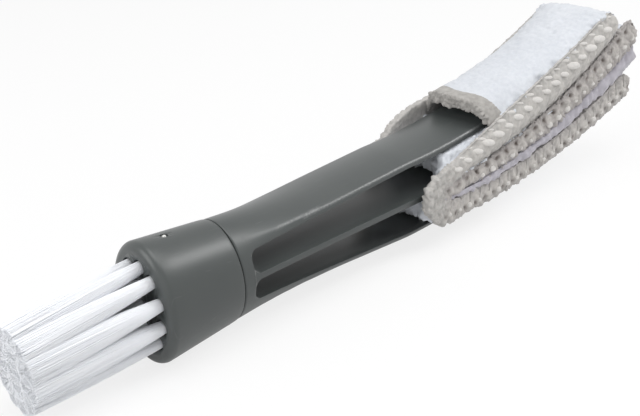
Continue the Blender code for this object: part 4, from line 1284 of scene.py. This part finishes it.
studio = {  # in metres; the floor glows by these shares where the camera sees it and where the part mirrors it
    "floorSize": 1.5, "floorColor": "#f2f2f2", "floorSeen": 0.8, "floorMirrored": 0.6, "worldLight": 0.30,
    "aim": (0.0, 0.0, 0.02),
    "lamps": {  # each one's place, size and watts
        "overheadSoftbox": ((0.05, -0.08, 0.60), 0.45, 1.80), "backSoftbox": ((0.38, -0.27, 0.42), 0.20, 1.3),
        "frontFill": ((-0.46, 0.10, 0.30), 0.35, 1.25), "sideFill": ((-0.45, -0.35, 0.20), 0.4, 0.25),
    },
}
# the camera, fitted to the collar's oval, the prongs' arcs and the seams: degrees and millimetres
view = {
    "azimuth": -42.263, "elevation": 25.839, "roll": -2.347, "distance": 180.0, "acrossView": 31.43, "upView": 17.18,
    "focalPixels": 1023.97, "imageWidth": 640, "sensorWidth": 36.0,
}
white = (1.0, 1.0, 1.0, 1.0)


def seenDirectly(tree):
    # the rays that look at the backdrop itself, also through glass, and the mirrored ones
    rays = addNode(tree, "ShaderNodeLightPath").node.outputs
    direct = {0: rays["Is Camera Ray"], 1: rays["Is Transmission Ray"]}
    return addNode(tree, "ShaderNodeMath", direct, operation="MAXIMUM"), rays["Is Glossy Ray"]


def makeFloor():
    bm = bmesh.new()
    bmesh.ops.create_grid(bm, x_segments=1, y_segments=1, size=studio["floorSize"])
    floor = newObject("floorSheet", meshOf(bm, "floorSheet"))
    material = bpy.data.materials.new("whitePaperSweep")
    material.use_nodes = True
    tree = material.node_tree
    shader = tree.nodes["Principled BSDF"]
    setInputs(tree, shader, {"Base Color": hexColor(studio["floorColor"]), "Roughness": 0.9})
    direct, mirrored = seenDirectly(tree)
    glow = addNode(tree, "ShaderNodeEmission", {"Color": white, "Strength": 1.0})
    mirrored = addNode(tree, "ShaderNodeMath", {0: mirrored, 1: studio["floorMirrored"]}, operation="MULTIPLY")
    seen = addNode(tree, "ShaderNodeMath", {0: direct, 1: mirrored}, operation="MAXIMUM")
    seen = addNode(tree, "ShaderNodeMath", {0: seen, 1: studio["floorSeen"]}, operation="MULTIPLY")
    surface = addNode(tree, "ShaderNodeMixShader", {0: seen, 1: shader.outputs[0], 2: glow})
    setInputs(tree, tree.nodes["Material Output"], {"Surface": surface})
    floor.data.materials.append(material)


def makeWorld():
    world = bpy.data.worlds.new("studio")
    bpy.context.scene.world = world
    world.use_nodes = True
    tree = world.node_tree
    direct, mirrored = seenDirectly(tree)
    seen = addNode(tree, "ShaderNodeMath", {0: direct, 1: mirrored}, operation="MAXIMUM")
    level = addNode(tree, "ShaderNodeMapRange", {"Value": seen, "To Min": studio["worldLight"], "To Max": 1.0})
    setInputs(tree, tree.nodes["Background"], {"Color": white, "Strength": level})


def makeLamp(name, spot, size, power):
    light = bpy.data.lights.new(name, "AREA")
    light.shape = "SQUARE"
    light.size = size
    light.energy = power
    lamp = newObject(name, light)
    lamp.location = spot
    lamp.rotation_euler = (Vector(studio["aim"]) - Vector(spot)).to_track_quat("-Z", "Y").to_euler()


def makeCamera():
    azimuth, elevation, roll = (math.radians(view[key]) for key in ("azimuth", "elevation", "roll"))
    flat = math.cos(elevation)
    back = Vector((math.sin(azimuth) * flat, -math.cos(azimuth) * flat, math.sin(elevation)))
    level = Vector((0.0, 0.0, 1.0)).cross(back).normalized()
    upright = back.cross(level)
    right = math.cos(roll) * level + math.sin(roll) * upright
    up = -math.sin(roll) * level + math.cos(roll) * upright
    spot = origin + (right * view["acrossView"] + up * view["upView"] + back * view["distance"]) * mm
    camera = bpy.data.cameras.new("camera")
    camera.sensor_width = view["sensorWidth"]
    camera.lens = view["focalPixels"] / view["imageWidth"] * view["sensorWidth"]
    camera.clip_start = 0.01
    holder = newObject("camera", camera)
    holder.matrix_world = Matrix.Translation(spot) @ Matrix((right, up, back)).transposed().to_4x4()
    bpy.context.scene.camera = holder


makeFloor()
makeWorld()
for name, (spot, size, power) in studio["lamps"].items():
    makeLamp(name, spot, size, power)
makeCamera()
bpy.context.scene.view_settings.view_transform = "Standard"
print("floor, lamps and camera made")
